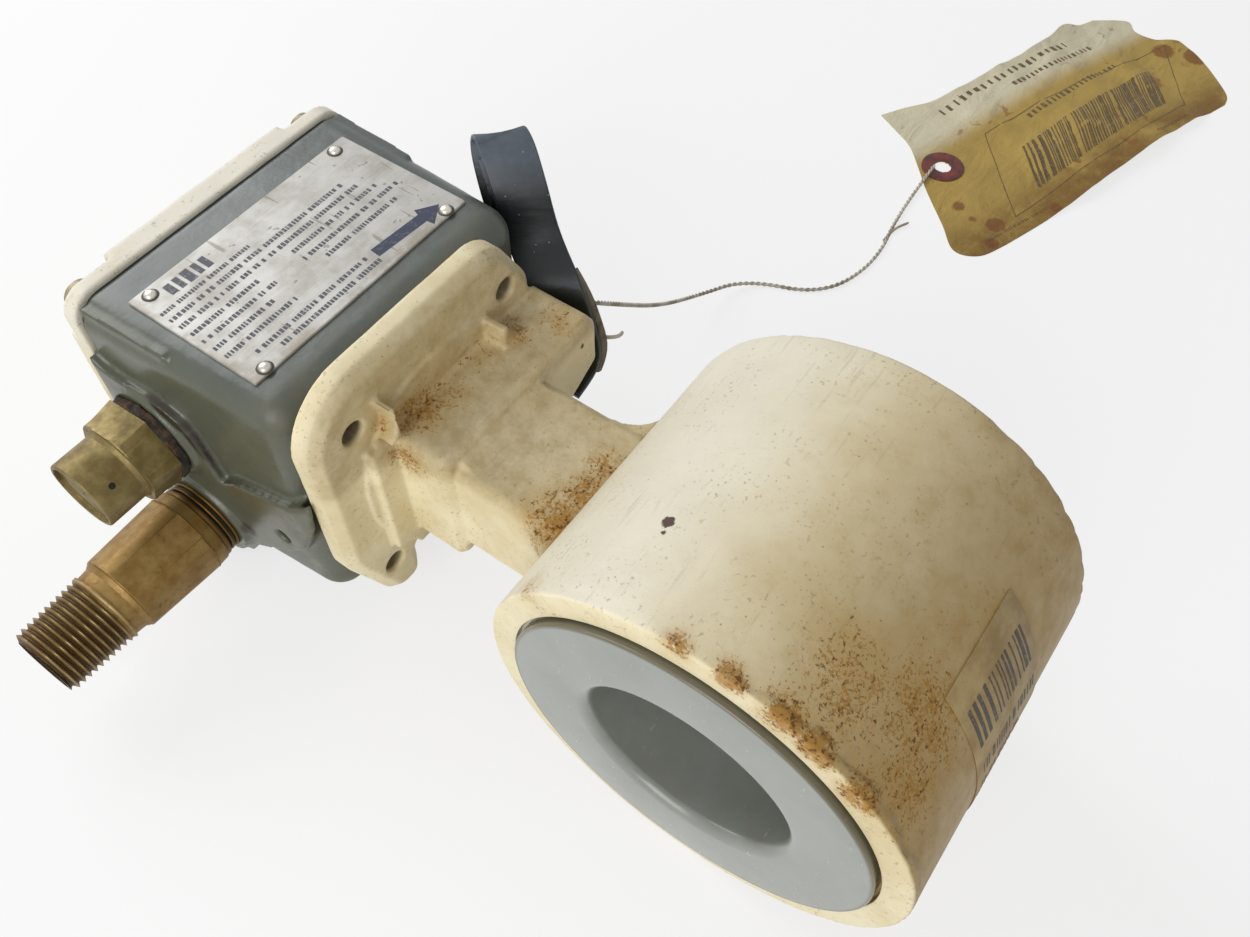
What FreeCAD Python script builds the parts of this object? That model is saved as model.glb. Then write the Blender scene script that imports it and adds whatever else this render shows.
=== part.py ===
import FreeCAD, Part
import math
import os
from FreeCAD import Vector as V

# Electromagnetic flow meter, wafer body with a junction box on a neck.
# Frame: X along the flow, Y out along the neck, Z up through the nameplate.
# The origin is the middle of the bore. All sizes in millimetres.

# ---- Driving dimensions ------------------------------------------------------
BODY_R = 52.0            # fits inside the bolts of a 2-inch class 150 flange
BODY_L = 80.6            # between the two ring faces
CHAMFER = 1.0
SEAT = 0.0               # parts drawn face to face
GAP = 0.3                # running clearance between loose fits

BORE_R = 25.0            # nominal 50 mm
TUBE_RO = 30.15          # 2-inch pipe
TUBE_RI = 28.2
LINER_PROUD = 1.6
LINER_FLANGE = 3.4       # thickness of each flared face
LIP_R = 2.8              # rounding where the bore meets the face
RING_WALL = 6.6          # metal left outside the recess for the flared face
RING_GROOVE_R = BODY_R - RING_WALL
FACE_CLEAR = 0.8         # between the recess and the flared face
LINER_FACE_R = RING_GROOVE_R - FACE_CLEAR

BODY_WALL = 4.5          # metal left outside the coil chamber
COIL_CHAMBER_R = BODY_R - BODY_WALL
COIL_CHAMBER_L = 62.0
YOKE_GAP = 5.5           # from the chamber's wall to the flats inside the yoke
YOKE_RI = COIL_CHAMBER_R - YOKE_GAP
YOKE_T = 1.6
COIL_CLEAR = 3.4         # from the coils to the yoke

NECK_X0, NECK_X1 = -18.8, 16.0
NECK_HZ = 16.0
NECK_FLARE = 10.4
BLOCK_X0, BLOCK_X1 = -21.0, 16.5
BLOCK_HZ = 20.5
BLOCK_Y0 = 79.5
STEP_H = 5.0

PLATE_Y0, PLATE_Y1 = 97.5, 105.0
PLATE_CX, PLATE_CZ = -2.3, 0.0
LAND_H = 2.8
PLATE_EDGE = 2.6
HOLE_R = 3.3
HOLE_DX, HOLE_DZ = 26.8, 28.4
SPOT_R = 8.2
WIRE_WAY_R = 8.0

GASKET_T = 1.2
BOX_Y0 = PLATE_Y1 + GASKET_T
BOX_Y1 = 169.0
BOX_FRONT = 37.0
BOX_BACK = -45.0
BOX_BACK_LOW = -40.5
BOX_HX = 44.2
BOX_DRAFT = 3.0
BOX_HX_LOW = BOX_HX - BOX_DRAFT
BOX_WALL = 4.0
BOX_FLOOR = 5.0
BOX_R = 7.0
LID_GASKET_T = 0.8
LID_Y0 = BOX_Y1 + LID_GASKET_T
LID_T = 7.6
LID_RISE = 2.4
LID_OVER = 0.9
SCREW_IN = 6.7           # cover screws, in from the box's sides
SCREW_DX = BOX_HX - SCREW_IN
SCREW_Z0 = BOX_FRONT - SCREW_IN
SCREW_Z1 = BOX_BACK + SCREW_IN
DOME_IN = 11.2           # raised panel, in from the box's sides
DOME_TAPER = 3.0

PLATE_NAME_HX = 35.7
PLATE_NAME_Y0, PLATE_NAME_Y1 = 118.1, 159.9
PLATE_NAME_T = 0.7
SHANK_R = 2.1
RIVET_X = (-31.1, 30.1)
RIVET_Y = (119.8, 157.1)

CAP_Y, CAP_Z = 154.5, 3.4
NIP_Y, NIP_Z = 149.0, -28.5
PAD_T = 2.8
PAD_HOLE_Y, PAD_HOLE_Z = 118.7, -15.0
NIP_THREAD_R = 10.65     # half-inch taper pipe thread
NIP_RING_T = 4.6
NIP_COLLAR_L = 3.4
NIP_HEX_L = 22.4
NIP_THREAD_AT = 31.5     # from the collar to the thread
NIP_L = 50.2             # from the collar to the end
HUB_PROUD = 3.0          # turned hubs round the two entries, out from the box's side
HUB_R = 13.6
HUB_X = -(BOX_HX + HUB_PROUD)
ENTRY_WALL = 5.2         # box wall behind the entries, with its draft
INNER_X = -(BOX_HX - ENTRY_WALL)
NIP_HEX_AF = 23.0
CAP_HEX_AF = 23.0

FLOOR_Z = -BODY_R        # the surface that the meter lies on
STRING_R = 0.6
TAG_T = 0.3

os.makedirs("parts", exist_ok=True)
NODES = []


def keep(name, shape):
    """Export one node and note its size."""
    shape = shape.removeSplitter() if shape.ShapeType != "Compound" else shape
    shape.exportStep("parts/%s.step" % name)
    NODES.append((name, shape))
    return shape


def box(x0, x1, y0, y1, z0, z1):
    return Part.makeBox(x1 - x0, y1 - y0, z1 - z0, V(x0, y0, z0))


def rod(r, p, q):
    """Cylinder of radius r from point p to point q."""
    p, q = V(*p), V(*q)
    return Part.makeCylinder(r, (q - p).Length, p, q - p)


def peg(r, p, q, sides=8):
    """Small shank or hole as a many-sided prism, corners on the radius r."""
    p, q = V(*p), V(*q)
    d = (q - p).normalize()
    u = V(0, 0, 1) if abs(d.z) < 0.5 else V(1, 0, 0)
    w = d.cross(u)
    pts = [p + u * (r * math.cos(2 * math.pi * k / sides)) + w * (r * math.sin(2 * math.pi * k / sides))
           for k in range(sides)]
    return Part.Face(Part.makePolygon(pts + [pts[0]])).extrude(V(*q) - p)


def cone(r0, r1, p, q):
    p, q = V(*p), V(*q)
    return Part.makeCone(r0, r1, (q - p).Length, p, q - p)


def revolve_x(points):
    """Solid of revolution about the X axis from (x, radius) points."""
    pts = [V(x, r, 0) for x, r in points]
    wire = Part.makePolygon(pts + [pts[0]])
    return Part.Face(wire).revolve(V(0, 0, 0), V(1, 0, 0), 360)


def prism(points, axis, a, b):
    """Polygon in the plane across `axis`, extruded from a to b."""
    def put(u, v):
        return {"x": V(a, u, v), "y": V(u, a, v), "z": V(u, v, a)}[axis]
    d = {"x": V(b - a, 0, 0), "y": V(0, b - a, 0), "z": V(0, 0, b - a)}[axis]
    pts = [put(u, v) for u, v in points]
    return Part.Face(Part.makePolygon(pts + [pts[0]])).extrude(d)


def soften(shape, radius, pick):
    """Round the edges that `pick` chooses, in smaller steps if need be."""
    edges = [e for e in shape.Edges if pick(e)]
    for r in (radius, radius * 0.8, radius * 0.6, radius * 0.4):
        try:
            out = shape.makeFillet(r, edges)
            if out.isValid() and out.Volume > 0:
                return out
        except Exception:
            continue
    raise RuntimeError("no rounding of %.1f mm fits" % radius)


def along(axis):
    """Chooser for straight edges that run along one axis."""
    i = "xyz".index(axis)

    def pick(e):
        if not isinstance(e.Curve, Part.Line):
            return False
        d = e.tangentAt(e.FirstParameter)
        return abs((d.x, d.y, d.z)[i]) > 0.99
    return pick


def rounded_rect(cx, cz, hx, hz, r, y):
    """Wire of a rounded rectangle in the plane at height y."""
    s = math.sqrt(0.5)
    c = [(cx + hx - r, cz + hz - r), (cx - hx + r, cz + hz - r),
         (cx - hx + r, cz - hz + r), (cx + hx - r, cz - hz + r)]
    q = [((1, 0), (s, s), (0, 1)), ((0, 1), (-s, s), (-1, 0)),
         ((-1, 0), (-s, -s), (0, -1)), ((0, -1), (s, -s), (1, 0))]
    edges, first, last = [], None, None
    for (x, z), (a, m, b) in zip(c, q):
        pa, pm, pb = (V(x + r * k[0], y, z + r * k[1]) for k in (a, m, b))
        if last is not None:
            edges.append(Part.LineSegment(last, pa).toShape())
        else:
            first = pa
        edges.append(Part.Arc(pa, pm, pb).toShape())
        last = pb
    edges.append(Part.LineSegment(last, first).toShape())
    return Part.Wire(edges)


def outline(points, y):
    """Closed wire at height y through (x, z, radius) corners, each rounded by a tangent arc."""
    n = len(points)
    arcs = []
    for i in range(n):
        ax, az, _ = points[i - 1]
        bx, bz, r = points[i]
        cx, cz, _ = points[(i + 1) % n]
        b = V(bx, y, bz)
        u = (V(ax, y, az) - b).normalize()
        w = (V(cx, y, cz) - b).normalize()
        half_turn = u.getAngle(w) / 2
        cut = r / math.tan(half_turn)
        mid = (u + w).normalize()
        centre = b + mid * (r / math.sin(half_turn))
        arcs.append((b + u * cut, centre - mid * r, b + w * cut))
    edges = []
    for i in range(n):
        p, m, q = arcs[i]
        edges.append(Part.Arc(p, m, q).toShape())
        nxt = arcs[(i + 1) % n][0]
        if (nxt - q).Length > 1e-6:
            edges.append(Part.LineSegment(q, nxt).toShape())
    return Part.Wire(edges)


def slab(cx, cz, hx, hz, r, y0, y1):
    return Part.Face(rounded_rect(cx, cz, hx, hz, r, y0)).extrude(V(0, y1 - y0, 0))


def hexagon(af, x0, x1, y, z, turn=0.0):
    rc = af / math.sqrt(3)
    pts = [(y + rc * math.cos(math.radians(60 * k + turn)),
            z + rc * math.sin(math.radians(60 * k + turn))) for k in range(6)]
    return prism(pts, "x", x0, x1)


# ---- Body, flow tube and liner -----------------------------------------------
half = BODY_L / 2
body = revolve_x([(-half, TUBE_RO), (-half, BODY_R - CHAMFER), (-half + CHAMFER, BODY_R),
                  (half - CHAMFER, BODY_R), (half, BODY_R - CHAMFER), (half, TUBE_RO)])
body = body.cut(rod(COIL_CHAMBER_R, (-COIL_CHAMBER_L / 2, 0, 0), (COIL_CHAMBER_L / 2, 0, 0))
                .cut(rod(TUBE_RO, (-half, 0, 0), (half, 0, 0))))
groove = LINER_FLANGE - LINER_PROUD
for s in (-1, 1):
    body = body.cut(rod(RING_GROOVE_R, (s * half, 0, 0), (s * (half - groove), 0, 0)))
body = body.cut(rod(WIRE_WAY_R, (0, COIL_CHAMBER_R - 2, 0), (0, BODY_R + 1, 0)))
body = keep("meter_body", body)

tube_half = half - groove
tube = revolve_x([(-tube_half, TUBE_RI), (-tube_half, TUBE_RO),
                  (tube_half, TUBE_RO), (tube_half, TUBE_RI)])

ELECTRODE_R = 3.0
ELECTRODE_HEAD_R = 5.0
NUT_SEAT = TUBE_RO + 2.85
NUT_T = 4.0
ELECTRODE_END = NUT_SEAT + NUT_T + 2.0
for s in (-1, 1):
    tube = tube.cut(peg(ELECTRODE_R + 1.6, (0, 0, s * (TUBE_RI - 2)), (0, 0, s * (TUBE_RO + 2))))
tube = keep("flow_tube", tube)

end = half + LINER_PROUD


def liner_profile():
    pts = [(-end, LINER_FACE_R), (-end + LINER_FLANGE, LINER_FACE_R),
           (-end + LINER_FLANGE, TUBE_RI), (end - LINER_FLANGE, TUBE_RI),
           (end - LINER_FLANGE, LINER_FACE_R), (end, LINER_FACE_R)]
    for k in range(0, 3):
        a = math.radians(45 * k)
        pts.append((end - LIP_R + LIP_R * math.cos(a), BORE_R + LIP_R - LIP_R * math.sin(a)))
    for k in range(2, -1, -1):
        a = math.radians(45 * k)
        pts.append((-end + LIP_R - LIP_R * math.cos(a), BORE_R + LIP_R - LIP_R * math.sin(a)))
    return pts


liner = revolve_x(liner_profile())
for s in (-1, 1):
    liner = liner.cut(peg(ELECTRODE_R, (0, 0, s * (BORE_R - 2)), (0, 0, s * (TUBE_RI + 2))))
    liner = liner.cut(peg(ELECTRODE_HEAD_R, (0, 0, s * (BORE_R - 2)), (0, 0, s * (BORE_R + 1.0))))
liner = keep("liner", liner)

# ---- Electrodes and coils inside the chamber ---------------------------------
for tag, s in (("upper", 1), ("lower", -1)):
    head = peg(ELECTRODE_HEAD_R, (0, 0, s * (BORE_R + 0.1)), (0, 0, s * (BORE_R + 1.0)))
    stem = peg(ELECTRODE_R, (0, 0, s * (BORE_R + 0.1)), (0, 0, s * ELECTRODE_END))
    keep("electrode_" + tag, head.fuse(stem))
    sleeve = peg(ELECTRODE_R + 1.6, (0, 0, s * (TUBE_RI + 0.01)), (0, 0, s * NUT_SEAT))
    keep("electrode_seal_" + tag, sleeve.cut(peg(ELECTRODE_R, (0, 0, 0), (0, 0, s * 45))))
    nut = peg(5.6, (0, 0, s * NUT_SEAT), (0, 0, s * (NUT_SEAT + NUT_T)), 6).cut(peg(ELECTRODE_R, (0, 0, 0), (0, 0, s * 45)))
    keep("electrode_nut_" + tag, nut)

COIL_RI, COIL_RO = TUBE_RO, YOKE_RI - COIL_CLEAR
COIL_HX = 26.0
POLE_HX = 13.0
for tag, s in (("neck", 1), ("far", -1)):
    ring = rod(COIL_RO, (-COIL_HX, 0, 0), (COIL_HX, 0, 0)).cut(rod(COIL_RI, (-COIL_HX, 0, 0), (COIL_HX, 0, 0)))
    y = [s * 10.0, s * 60.0]
    outer = ring.common(box(-COIL_HX, COIL_HX, min(y), max(y), -60, 60))
    outer = outer.common(box(-COIL_HX, COIL_HX, -60, 60, -30.0, 30.0))
    window = box(-POLE_HX - 0.6, POLE_HX + 0.6, min(s * 20.0, s * 60.0), max(s * 20.0, s * 60.0), -16.6, 16.6)
    coil = outer.cut(window)
    keep("coil_" + tag, coil)
    core = rod(YOKE_RI, (-POLE_HX, 0, 0), (POLE_HX, 0, 0)).cut(rod(TUBE_RO, (-POLE_HX, 0, 0), (POLE_HX, 0, 0)))
    core = core.common(box(-POLE_HX, POLE_HX, min(s * 20.0, s * 60.0), max(s * 20.0, s * 60.0), -16.0, 16.0))
    keep("pole_core_" + tag, core)
turn = math.pi / 16


def strip_ring(flat_r, half_l):
    """Sixteen-sided bar along X whose flats lie at flat_r."""
    rc = flat_r / math.cos(turn)
    pts = [(rc * math.cos(turn * (2 * k + 1)), rc * math.sin(turn * (2 * k + 1))) for k in range(16)]
    return prism(pts, "x", -half_l, half_l)


yoke = strip_ring(YOKE_RI + YOKE_T, 22.0).cut(strip_ring(YOKE_RI, 23.0))
yoke = yoke.cut(peg(WIRE_WAY_R + 0.5, (0, 30, 0), (0, 50, 0), 16))
keep("return_yoke", yoke)

# ---- Pedestal casting: saddle, neck, plate, ribs, side boss ------------------
flare_y = 59.6


neck = box(NECK_X0, NECK_X1, 20.0, BLOCK_Y0 + 4, -NECK_HZ, NECK_HZ)
neck = soften(neck, 2.5, along("y"))
flare = box(NECK_X0 - NECK_FLARE, NECK_X1 + NECK_FLARE, 20.0, flare_y, -NECK_HZ + 1.0, NECK_HZ - 1.0)
for x in (NECK_X0 - NECK_FLARE, NECK_X1 + NECK_FLARE):
    flare = flare.cut(rod(NECK_FLARE, (x, flare_y, -30), (x, flare_y, 30)))
block = box(BLOCK_X0, BLOCK_X1, BLOCK_Y0, PLATE_Y0 + 1, -BLOCK_HZ, BLOCK_HZ)
block = soften(block, 3.0, along("y"))
block = block.makeChamfer(1.6, [e for e in block.Edges if e.CenterOfMass.y < BLOCK_Y0 + 0.1])
pedestal = neck.fuse([flare, block])
for s in (-1, 1):
    pedestal = pedestal.fuse(prism([(BLOCK_Y0 + 3.5, s * (NECK_HZ - 2)), (BLOCK_Y0 + 3.5, s * (BLOCK_HZ - 1.0)),
                                    (BLOCK_Y0 + 1.0, s * (BLOCK_HZ - 2.2)),
                                    (BLOCK_Y0 - STEP_H, s * NECK_HZ), (BLOCK_Y0 - STEP_H, s * (NECK_HZ - 2))],
                                   "x", NECK_X0 + 2.5, NECK_X1 - 2.5))

PLATE_LINE = [(-41.6, 43.4, 18.0), (-41.6, -17.0, 16.0), (-31.0, -43.4, 6.5), (-20.3, -43.4, 5.0),
              (-20.3, -29.5, 4.0), (15.7, -29.5, 4.0), (15.7, -43.4, 4.5), (27.0, -43.4, 6.5),
              (35.0, -20.0, 10.0), (35.0, 24.0, 9.0), (24.5, 43.4, 12.0)]
plate = Part.Face(outline(PLATE_LINE, PLATE_Y0)).extrude(V(0, PLATE_Y1 - PLATE_Y0, 0))
plate = plate.makeChamfer(PLATE_EDGE, [e for e in plate.Edges if abs(e.CenterOfMass.y - PLATE_Y0) < 0.01])
land = box(-28.4, 23.0, PLATE_Y0 - LAND_H, PLATE_Y0 + 1, -26.0, 20.0)
raised = slab(-2.3, 2.0, 28.5, 28.5, 26.0, PLATE_Y0 - 0.9, PLATE_Y0 + 1)

# Side boss that carries the strap.
BOSS_X1 = 38.0
BOSS_Y0 = 80.0
BOSS_Z1, BOSS_Z0 = 20.5, -5.0
boss = prism([(10, BOSS_Z1), (BOSS_X1 - 3, BOSS_Z1), (BOSS_X1, BOSS_Z1 - 5), (BOSS_X1, 2.0),
              (BOSS_X1 - 12, BOSS_Z0), (10, BOSS_Z0)], "y", BOSS_Y0, PLATE_Y0 + 1)
boss = soften(boss, 2.6, along("y"))
boss = boss.makeChamfer(1.4, [e for e in boss.Edges if e.CenterOfMass.y < BOSS_Y0 + 0.1])
pedestal = pedestal.fuse(boss)

# A raised land, two lugs and spot faces round the four holes.
lug_a = box(-25.2, -20.5, PLATE_Y0 - 5.4, PLATE_Y0 + 1, 22.0, 33.0)
lug_b = box(14.5, 21.5, PLATE_Y0 - 7.2, PLATE_Y0 + 1, 12.0, 27.0)
ribs = land.fuse([raised, lug_a, lug_b])
HOLES = [(PLATE_CX + sx * HOLE_DX, PLATE_CZ + sz * HOLE_DZ) for sx in (-1, 1) for sz in (-1, 1)]
for hx, hz in HOLES:
    ribs = ribs.cut(rod(SPOT_R, (hx, PLATE_Y0 - 12, hz), (hx, PLATE_Y0, hz)))
pedestal = pedestal.fuse(plate)
pedestal = pedestal.fuse(ribs)
for hx, hz in HOLES:
    pedestal = pedestal.cut(rod(HOLE_R, (hx, PLATE_Y0 - 12, hz), (hx, PLATE_Y1 + 1, hz)))
pedestal = pedestal.cut(rod(BODY_R, (-60, 0, 0), (60, 0, 0)))
pedestal = pedestal.cut(rod(WIRE_WAY_R, (0, 40, 0), (0, PLATE_Y1 + 1, 0)))
# Tapped holes for the screws that come down from the floor of the box.
BOX_SCREW = [(PLATE_CX + sx * 15.0, sz * 13.0) for sx in (-1, 1) for sz in (-1, 1)]
BOX_SCREW_R = 2.4
BOX_SCREW_DEPTH = 6.0
for x, z in BOX_SCREW:
    pedestal = pedestal.cut(peg(BOX_SCREW_R, (x, PLATE_Y1 - BOX_SCREW_DEPTH, z), (x, PLATE_Y1 + 1, z)))
pedestal = keep("pedestal", pedestal)

# ---- Junction box -------------------------------------------------------------
def box_form(y0, y1, grow=0.0, r=0.0):
    """The box's drafted form between two heights, moved out by `grow`."""
    rings = []
    for y in (y0, y1):
        t = (y - PLATE_Y1) / (BOX_Y1 - PLATE_Y1)
        hx = BOX_HX_LOW + (BOX_HX - BOX_HX_LOW) * t + grow
        back = BOX_BACK_LOW + (BOX_BACK - BOX_BACK_LOW) * t - grow
        f = BOX_FRONT + grow
        rings.append([V(-hx, y, back), V(hx, y, back), V(hx, y, f), V(-hx, y, f)])
    lo, hi = rings
    faces = [Part.Face(Part.makePolygon(c + [c[0]])) for c in
             [lo, hi] + [[lo[i], lo[(i + 1) % 4], hi[(i + 1) % 4], hi[i]] for i in range(4)]]
    form = Part.Solid(Part.Shell(faces))
    if form.Volume < 0:
        form.reverse()
    return soften(form, r, lambda e: abs(e.tangentAt(e.FirstParameter).y) > 0.9) if r else form


outer = box_form(BOX_Y0, BOX_Y1, 0.0, BOX_R)
outer = soften(outer, 7.5, lambda e: abs(e.CenterOfMass.y - BOX_Y0) < 0.01)
inner = box_form(BOX_Y0 + BOX_FLOOR, BOX_Y1 + 1, -BOX_WALL)

# Conduit pad standing out of the left side.
pad_skin = box_form(102.0, BOX_Y1, PAD_T)
PAD_LINE = [(168.9, 22.6), (165.6, 20.2), (159.8, 18.6), (152.3, 18.8), (146.6, 17.6), (142.5, 15.6),
            (139.8, 11.0), (138.6, 5.4), (137.8, -0.2), (136.7, -5.9), (130.4, -1.0), (111.7, 3.9),
            (105.5, 8.5), (102.5, 12.2), (104.5, 0.0), (110.9, -15.0), (120.0, -24.0), (133.5, -33.0),
            (138.0, -40.0), (168.9, -40.0)]
pad = pad_skin.common(prism(PAD_LINE, "x", -60, -30)).cut(box(-BOX_HX + 1.8, 60, 90, BOX_Y0 + 1.5, -60, 60))
outer = outer.fuse(pad)
for cy, cz in ((CAP_Y, CAP_Z), (NIP_Y, NIP_Z)):
    outer = outer.fuse(rod(HUB_R, (INNER_X - 1.0, cy, cz), (HUB_X, cy, cz)))
jbox = outer.cut(inner)
ENTRY_R = 9.6
jbox = jbox.cut(rod(WIRE_WAY_R, (0, 100, 0), (0, 120, 0)))
# Rivet holes in the front wall, and the hole on the pad's lower end.
for x in RIVET_X:
    for y in RIVET_Y:
        jbox = jbox.cut(peg(1.5, (x, y, BOX_FRONT - 3.0), (x, y, BOX_FRONT + 1), 8))
jbox = jbox.cut(rod(2.2, (HUB_X - 2.8, PAD_HOLE_Y, PAD_HOLE_Z), (INNER_X - 1.0, PAD_HOLE_Y, PAD_HOLE_Z)))
for x, z in BOX_SCREW:
    jbox = jbox.cut(peg(BOX_SCREW_R, (x, 100, z), (x, 120, z)))
# Screw posts for the cover inside the corners.
post_body = box_form(BOX_Y0 + 10, BOX_Y1, -1.0)
for sx in (-1, 1):
    for z, away in ((SCREW_Z0, 1), (SCREW_Z1, -1)):
        x = sx * SCREW_DX
        post = box(min(x - sx * 4.6, x + sx * 9), max(x - sx * 4.6, x + sx * 9), 142, BOX_Y1,
                   min(z - away * 4.6, z + away * 9), max(z - away * 4.6, z + away * 9))
        jbox = jbox.fuse(post.common(post_body))
for sx in (-1, 1):
    for z in (SCREW_Z0, SCREW_Z1):
        jbox = jbox.cut(peg(SHANK_R, (sx * SCREW_DX, 149.5, z), (sx * SCREW_DX, BOX_Y1 + 1, z)))
for cy, cz in ((CAP_Y, CAP_Z), (NIP_Y, NIP_Z)):
    jbox = jbox.cut(peg(ENTRY_R, (HUB_X - 12.8, cy, cz), (INNER_X, cy, cz), 16))
jbox = keep("junction_box", jbox)

gasket = box(-33, 31.5, PLATE_Y1, BOX_Y0, -27.5, 29.0)
gasket = gasket.cut(peg(WIRE_WAY_R, (0, 90, 0), (0, 120, 0), 16))
for x, z in BOX_SCREW:
    gasket = gasket.cut(peg(BOX_SCREW_R, (x, 100, z), (x, 120, z)))
for hx, hz in HOLES:
    gasket = gasket.cut(peg(HOLE_R + 1, (hx, 100, hz), (hx, 110, hz)))
keep("box_gasket", gasket)

mid_z = (BOX_FRONT + BOX_BACK) / 2
lid_hz = (BOX_FRONT - BOX_BACK) / 2
lid_gasket = slab(0, mid_z, BOX_HX - 0.6, lid_hz - 0.6, BOX_R, BOX_Y1, LID_Y0).cut(
    slab(0, mid_z, BOX_HX - 3.6, lid_hz - 3.6, BOX_R - 3, BOX_Y1 - 1, LID_Y0 + 1))
for sx in (-1, 1):
    for z in (SCREW_Z0, SCREW_Z1):
        lid_gasket = lid_gasket.cut(peg(SHANK_R, (sx * SCREW_DX, 140, z), (sx * SCREW_DX, BOX_Y1 + 3, z)))
keep("cover_gasket", lid_gasket)

lid = slab(0, mid_z, BOX_HX + LID_OVER, lid_hz + LID_OVER, BOX_R, LID_Y0, LID_Y0 + LID_T)
lid = lid.makeChamfer(1.2, [e for e in lid.Edges if abs(e.CenterOfMass.y - LID_Y0 - LID_T) < 0.01])
dome_hx, dome_hz = BOX_HX - DOME_IN, lid_hz - DOME_IN + 3.2
top_hx, top_hz = dome_hx - DOME_TAPER, dome_hz - DOME_TAPER
dome = Part.makeLoft([rounded_rect(0, mid_z, dome_hx, dome_hz, 8.0, LID_Y0 + LID_T - 0.5),
                      rounded_rect(0, mid_z, top_hx, top_hz, 7.0, LID_Y0 + LID_T + LID_RISE)], True)
lid = lid.fuse(dome)
lid = lid.cut(box(-dome_hx, dome_hx, LID_Y0 - 1, LID_Y0 + LID_T - 3.0, mid_z - dome_hz, mid_z + dome_hz))
LID_LOW = 4.4            # thickness left under each screw head
for sx in (-1, 1):
    for z, away in ((SCREW_Z0, 1), (SCREW_Z1, -1)):
        scoop = slab(sx * (SCREW_DX + 1.5), z + away * 4, 10.5, 10.0, 6.0, LID_Y0 + LID_LOW, LID_Y0 + 20)
        boss_l = rod(4.6, (sx * SCREW_DX, LID_Y0, z), (sx * SCREW_DX, LID_Y0 + LID_T - 1.0, z))
        lid = lid.cut(scoop).fuse(boss_l.common(box(-60, 60, 0, 300, -60, 60)))
for sx in (-1, 1):
    for z in (SCREW_Z0, SCREW_Z1):
        lid = lid.cut(peg(SHANK_R, (sx * SCREW_DX, 160, z), (sx * SCREW_DX, LID_Y0 + 20, z)))
lid = keep("cover", lid)

n = 0
for sx in (-1, 1):
    for z in (SCREW_Z0, SCREW_Z1):
        n += 1
        x = sx * SCREW_DX
        top = LID_Y0 + LID_T - 1.0
        s = peg(SHANK_R, (x, 150, z), (x, top, z)).fuse(peg(4.0, (x, top, z), (x, top + 3.2, z), 16))
        s = s.cut(box(x - 5, x + 5, top + 2.0, top + 4, z - 0.6, z + 0.6))
        keep("cover_screw_%d" % n, s)

# ---- Nameplate ----------------------------------------------------------------
plate_n = box(-PLATE_NAME_HX, PLATE_NAME_HX, PLATE_NAME_Y0, PLATE_NAME_Y1, BOX_FRONT, BOX_FRONT + PLATE_NAME_T)
for x in RIVET_X:
    for y in RIVET_Y:
        plate_n = plate_n.cut(peg(1.5, (x, y, BOX_FRONT - 1), (x, y, BOX_FRONT + 2), 8))
keep("nameplate", plate_n)
n = 0
for x in RIVET_X:
    for y in RIVET_Y:
        n += 1
        z = BOX_FRONT + PLATE_NAME_T
        r = peg(1.5, (x, y, BOX_FRONT - 3.0), (x, y, z), 8).fuse(
            peg(2.7, (x, y, z), (x, y, z + 1.3), 16))
        keep("nameplate_rivet_%d" % n, r)

# ---- Conduit fittings on the left side -----------------------------------------
SEAL_T = 2.6
seal = rod(11.8, (HUB_X, CAP_Y, CAP_Z), (HUB_X - SEAL_T, CAP_Y, CAP_Z)).cut(
    peg(ENTRY_R, (HUB_X - 12.8, CAP_Y, CAP_Z), (HUB_X + 7.2, CAP_Y, CAP_Z), 16))
keep("cap_seal", seal)
cx0 = HUB_X - SEAL_T
cap = hexagon(CAP_HEX_AF, cx0, cx0 - 8.6, CAP_Y, CAP_Z, 55.0)
cap = cap.common(cone(14.0, 11.8, (cx0 + 0.5, CAP_Y, CAP_Z), (cx0 - 8.6, CAP_Y, CAP_Z)).fuse(
    rod(13.6, (cx0, CAP_Y, CAP_Z), (cx0 - 6.5, CAP_Y, CAP_Z))))
cap = cap.fuse(rod(9.9, (cx0 - 8.0, CAP_Y, CAP_Z), (cx0 - 20.4, CAP_Y, CAP_Z)))
cap = cap.fuse(peg(ENTRY_R, (cx0, CAP_Y, CAP_Z), (INNER_X - 1.8, CAP_Y, CAP_Z), 16))
cap = cap.cut(rod(8.7, (cx0 - 18.0, CAP_Y, CAP_Z), (cx0 - 21.0, CAP_Y, CAP_Z)))
cap = cap.cut(rod(0.9, (cx0 - 15.0, CAP_Y, CAP_Z + 6), (cx0 - 15.0, CAP_Y, CAP_Z + 12)))
keep("conduit_plug", cap)

nx = HUB_X - NIP_RING_T
hex_x = nx - NIP_COLLAR_L
hex_end = hex_x - NIP_HEX_L
thread_x = nx - NIP_THREAD_AT
nip_end = nx - NIP_L
ring = rod(12.0, (HUB_X, NIP_Y, NIP_Z), (nx, NIP_Y, NIP_Z)).cut(
    peg(ENTRY_R, (HUB_X + 1, NIP_Y, NIP_Z), (HUB_X - 6, NIP_Y, NIP_Z), 16))
keep("nipple_seal", ring)
nip = peg(ENTRY_R, (INNER_X - 1.8, NIP_Y, NIP_Z), (nx, NIP_Y, NIP_Z), 16)
nip = nip.fuse(rod(12.2, (nx, NIP_Y, NIP_Z), (hex_x, NIP_Y, NIP_Z)))
nip = nip.fuse(hexagon(NIP_HEX_AF, hex_x, hex_end, NIP_Y, NIP_Z, 31.0))
nip = nip.fuse(rod(10.2, (hex_end + 1.1, NIP_Y, NIP_Z), (thread_x, NIP_Y, NIP_Z)))
nip = nip.fuse(cone(NIP_THREAD_R, NIP_THREAD_R - 0.5, (thread_x + 0.6, NIP_Y, NIP_Z), (nip_end, NIP_Y, NIP_Z)))
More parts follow.
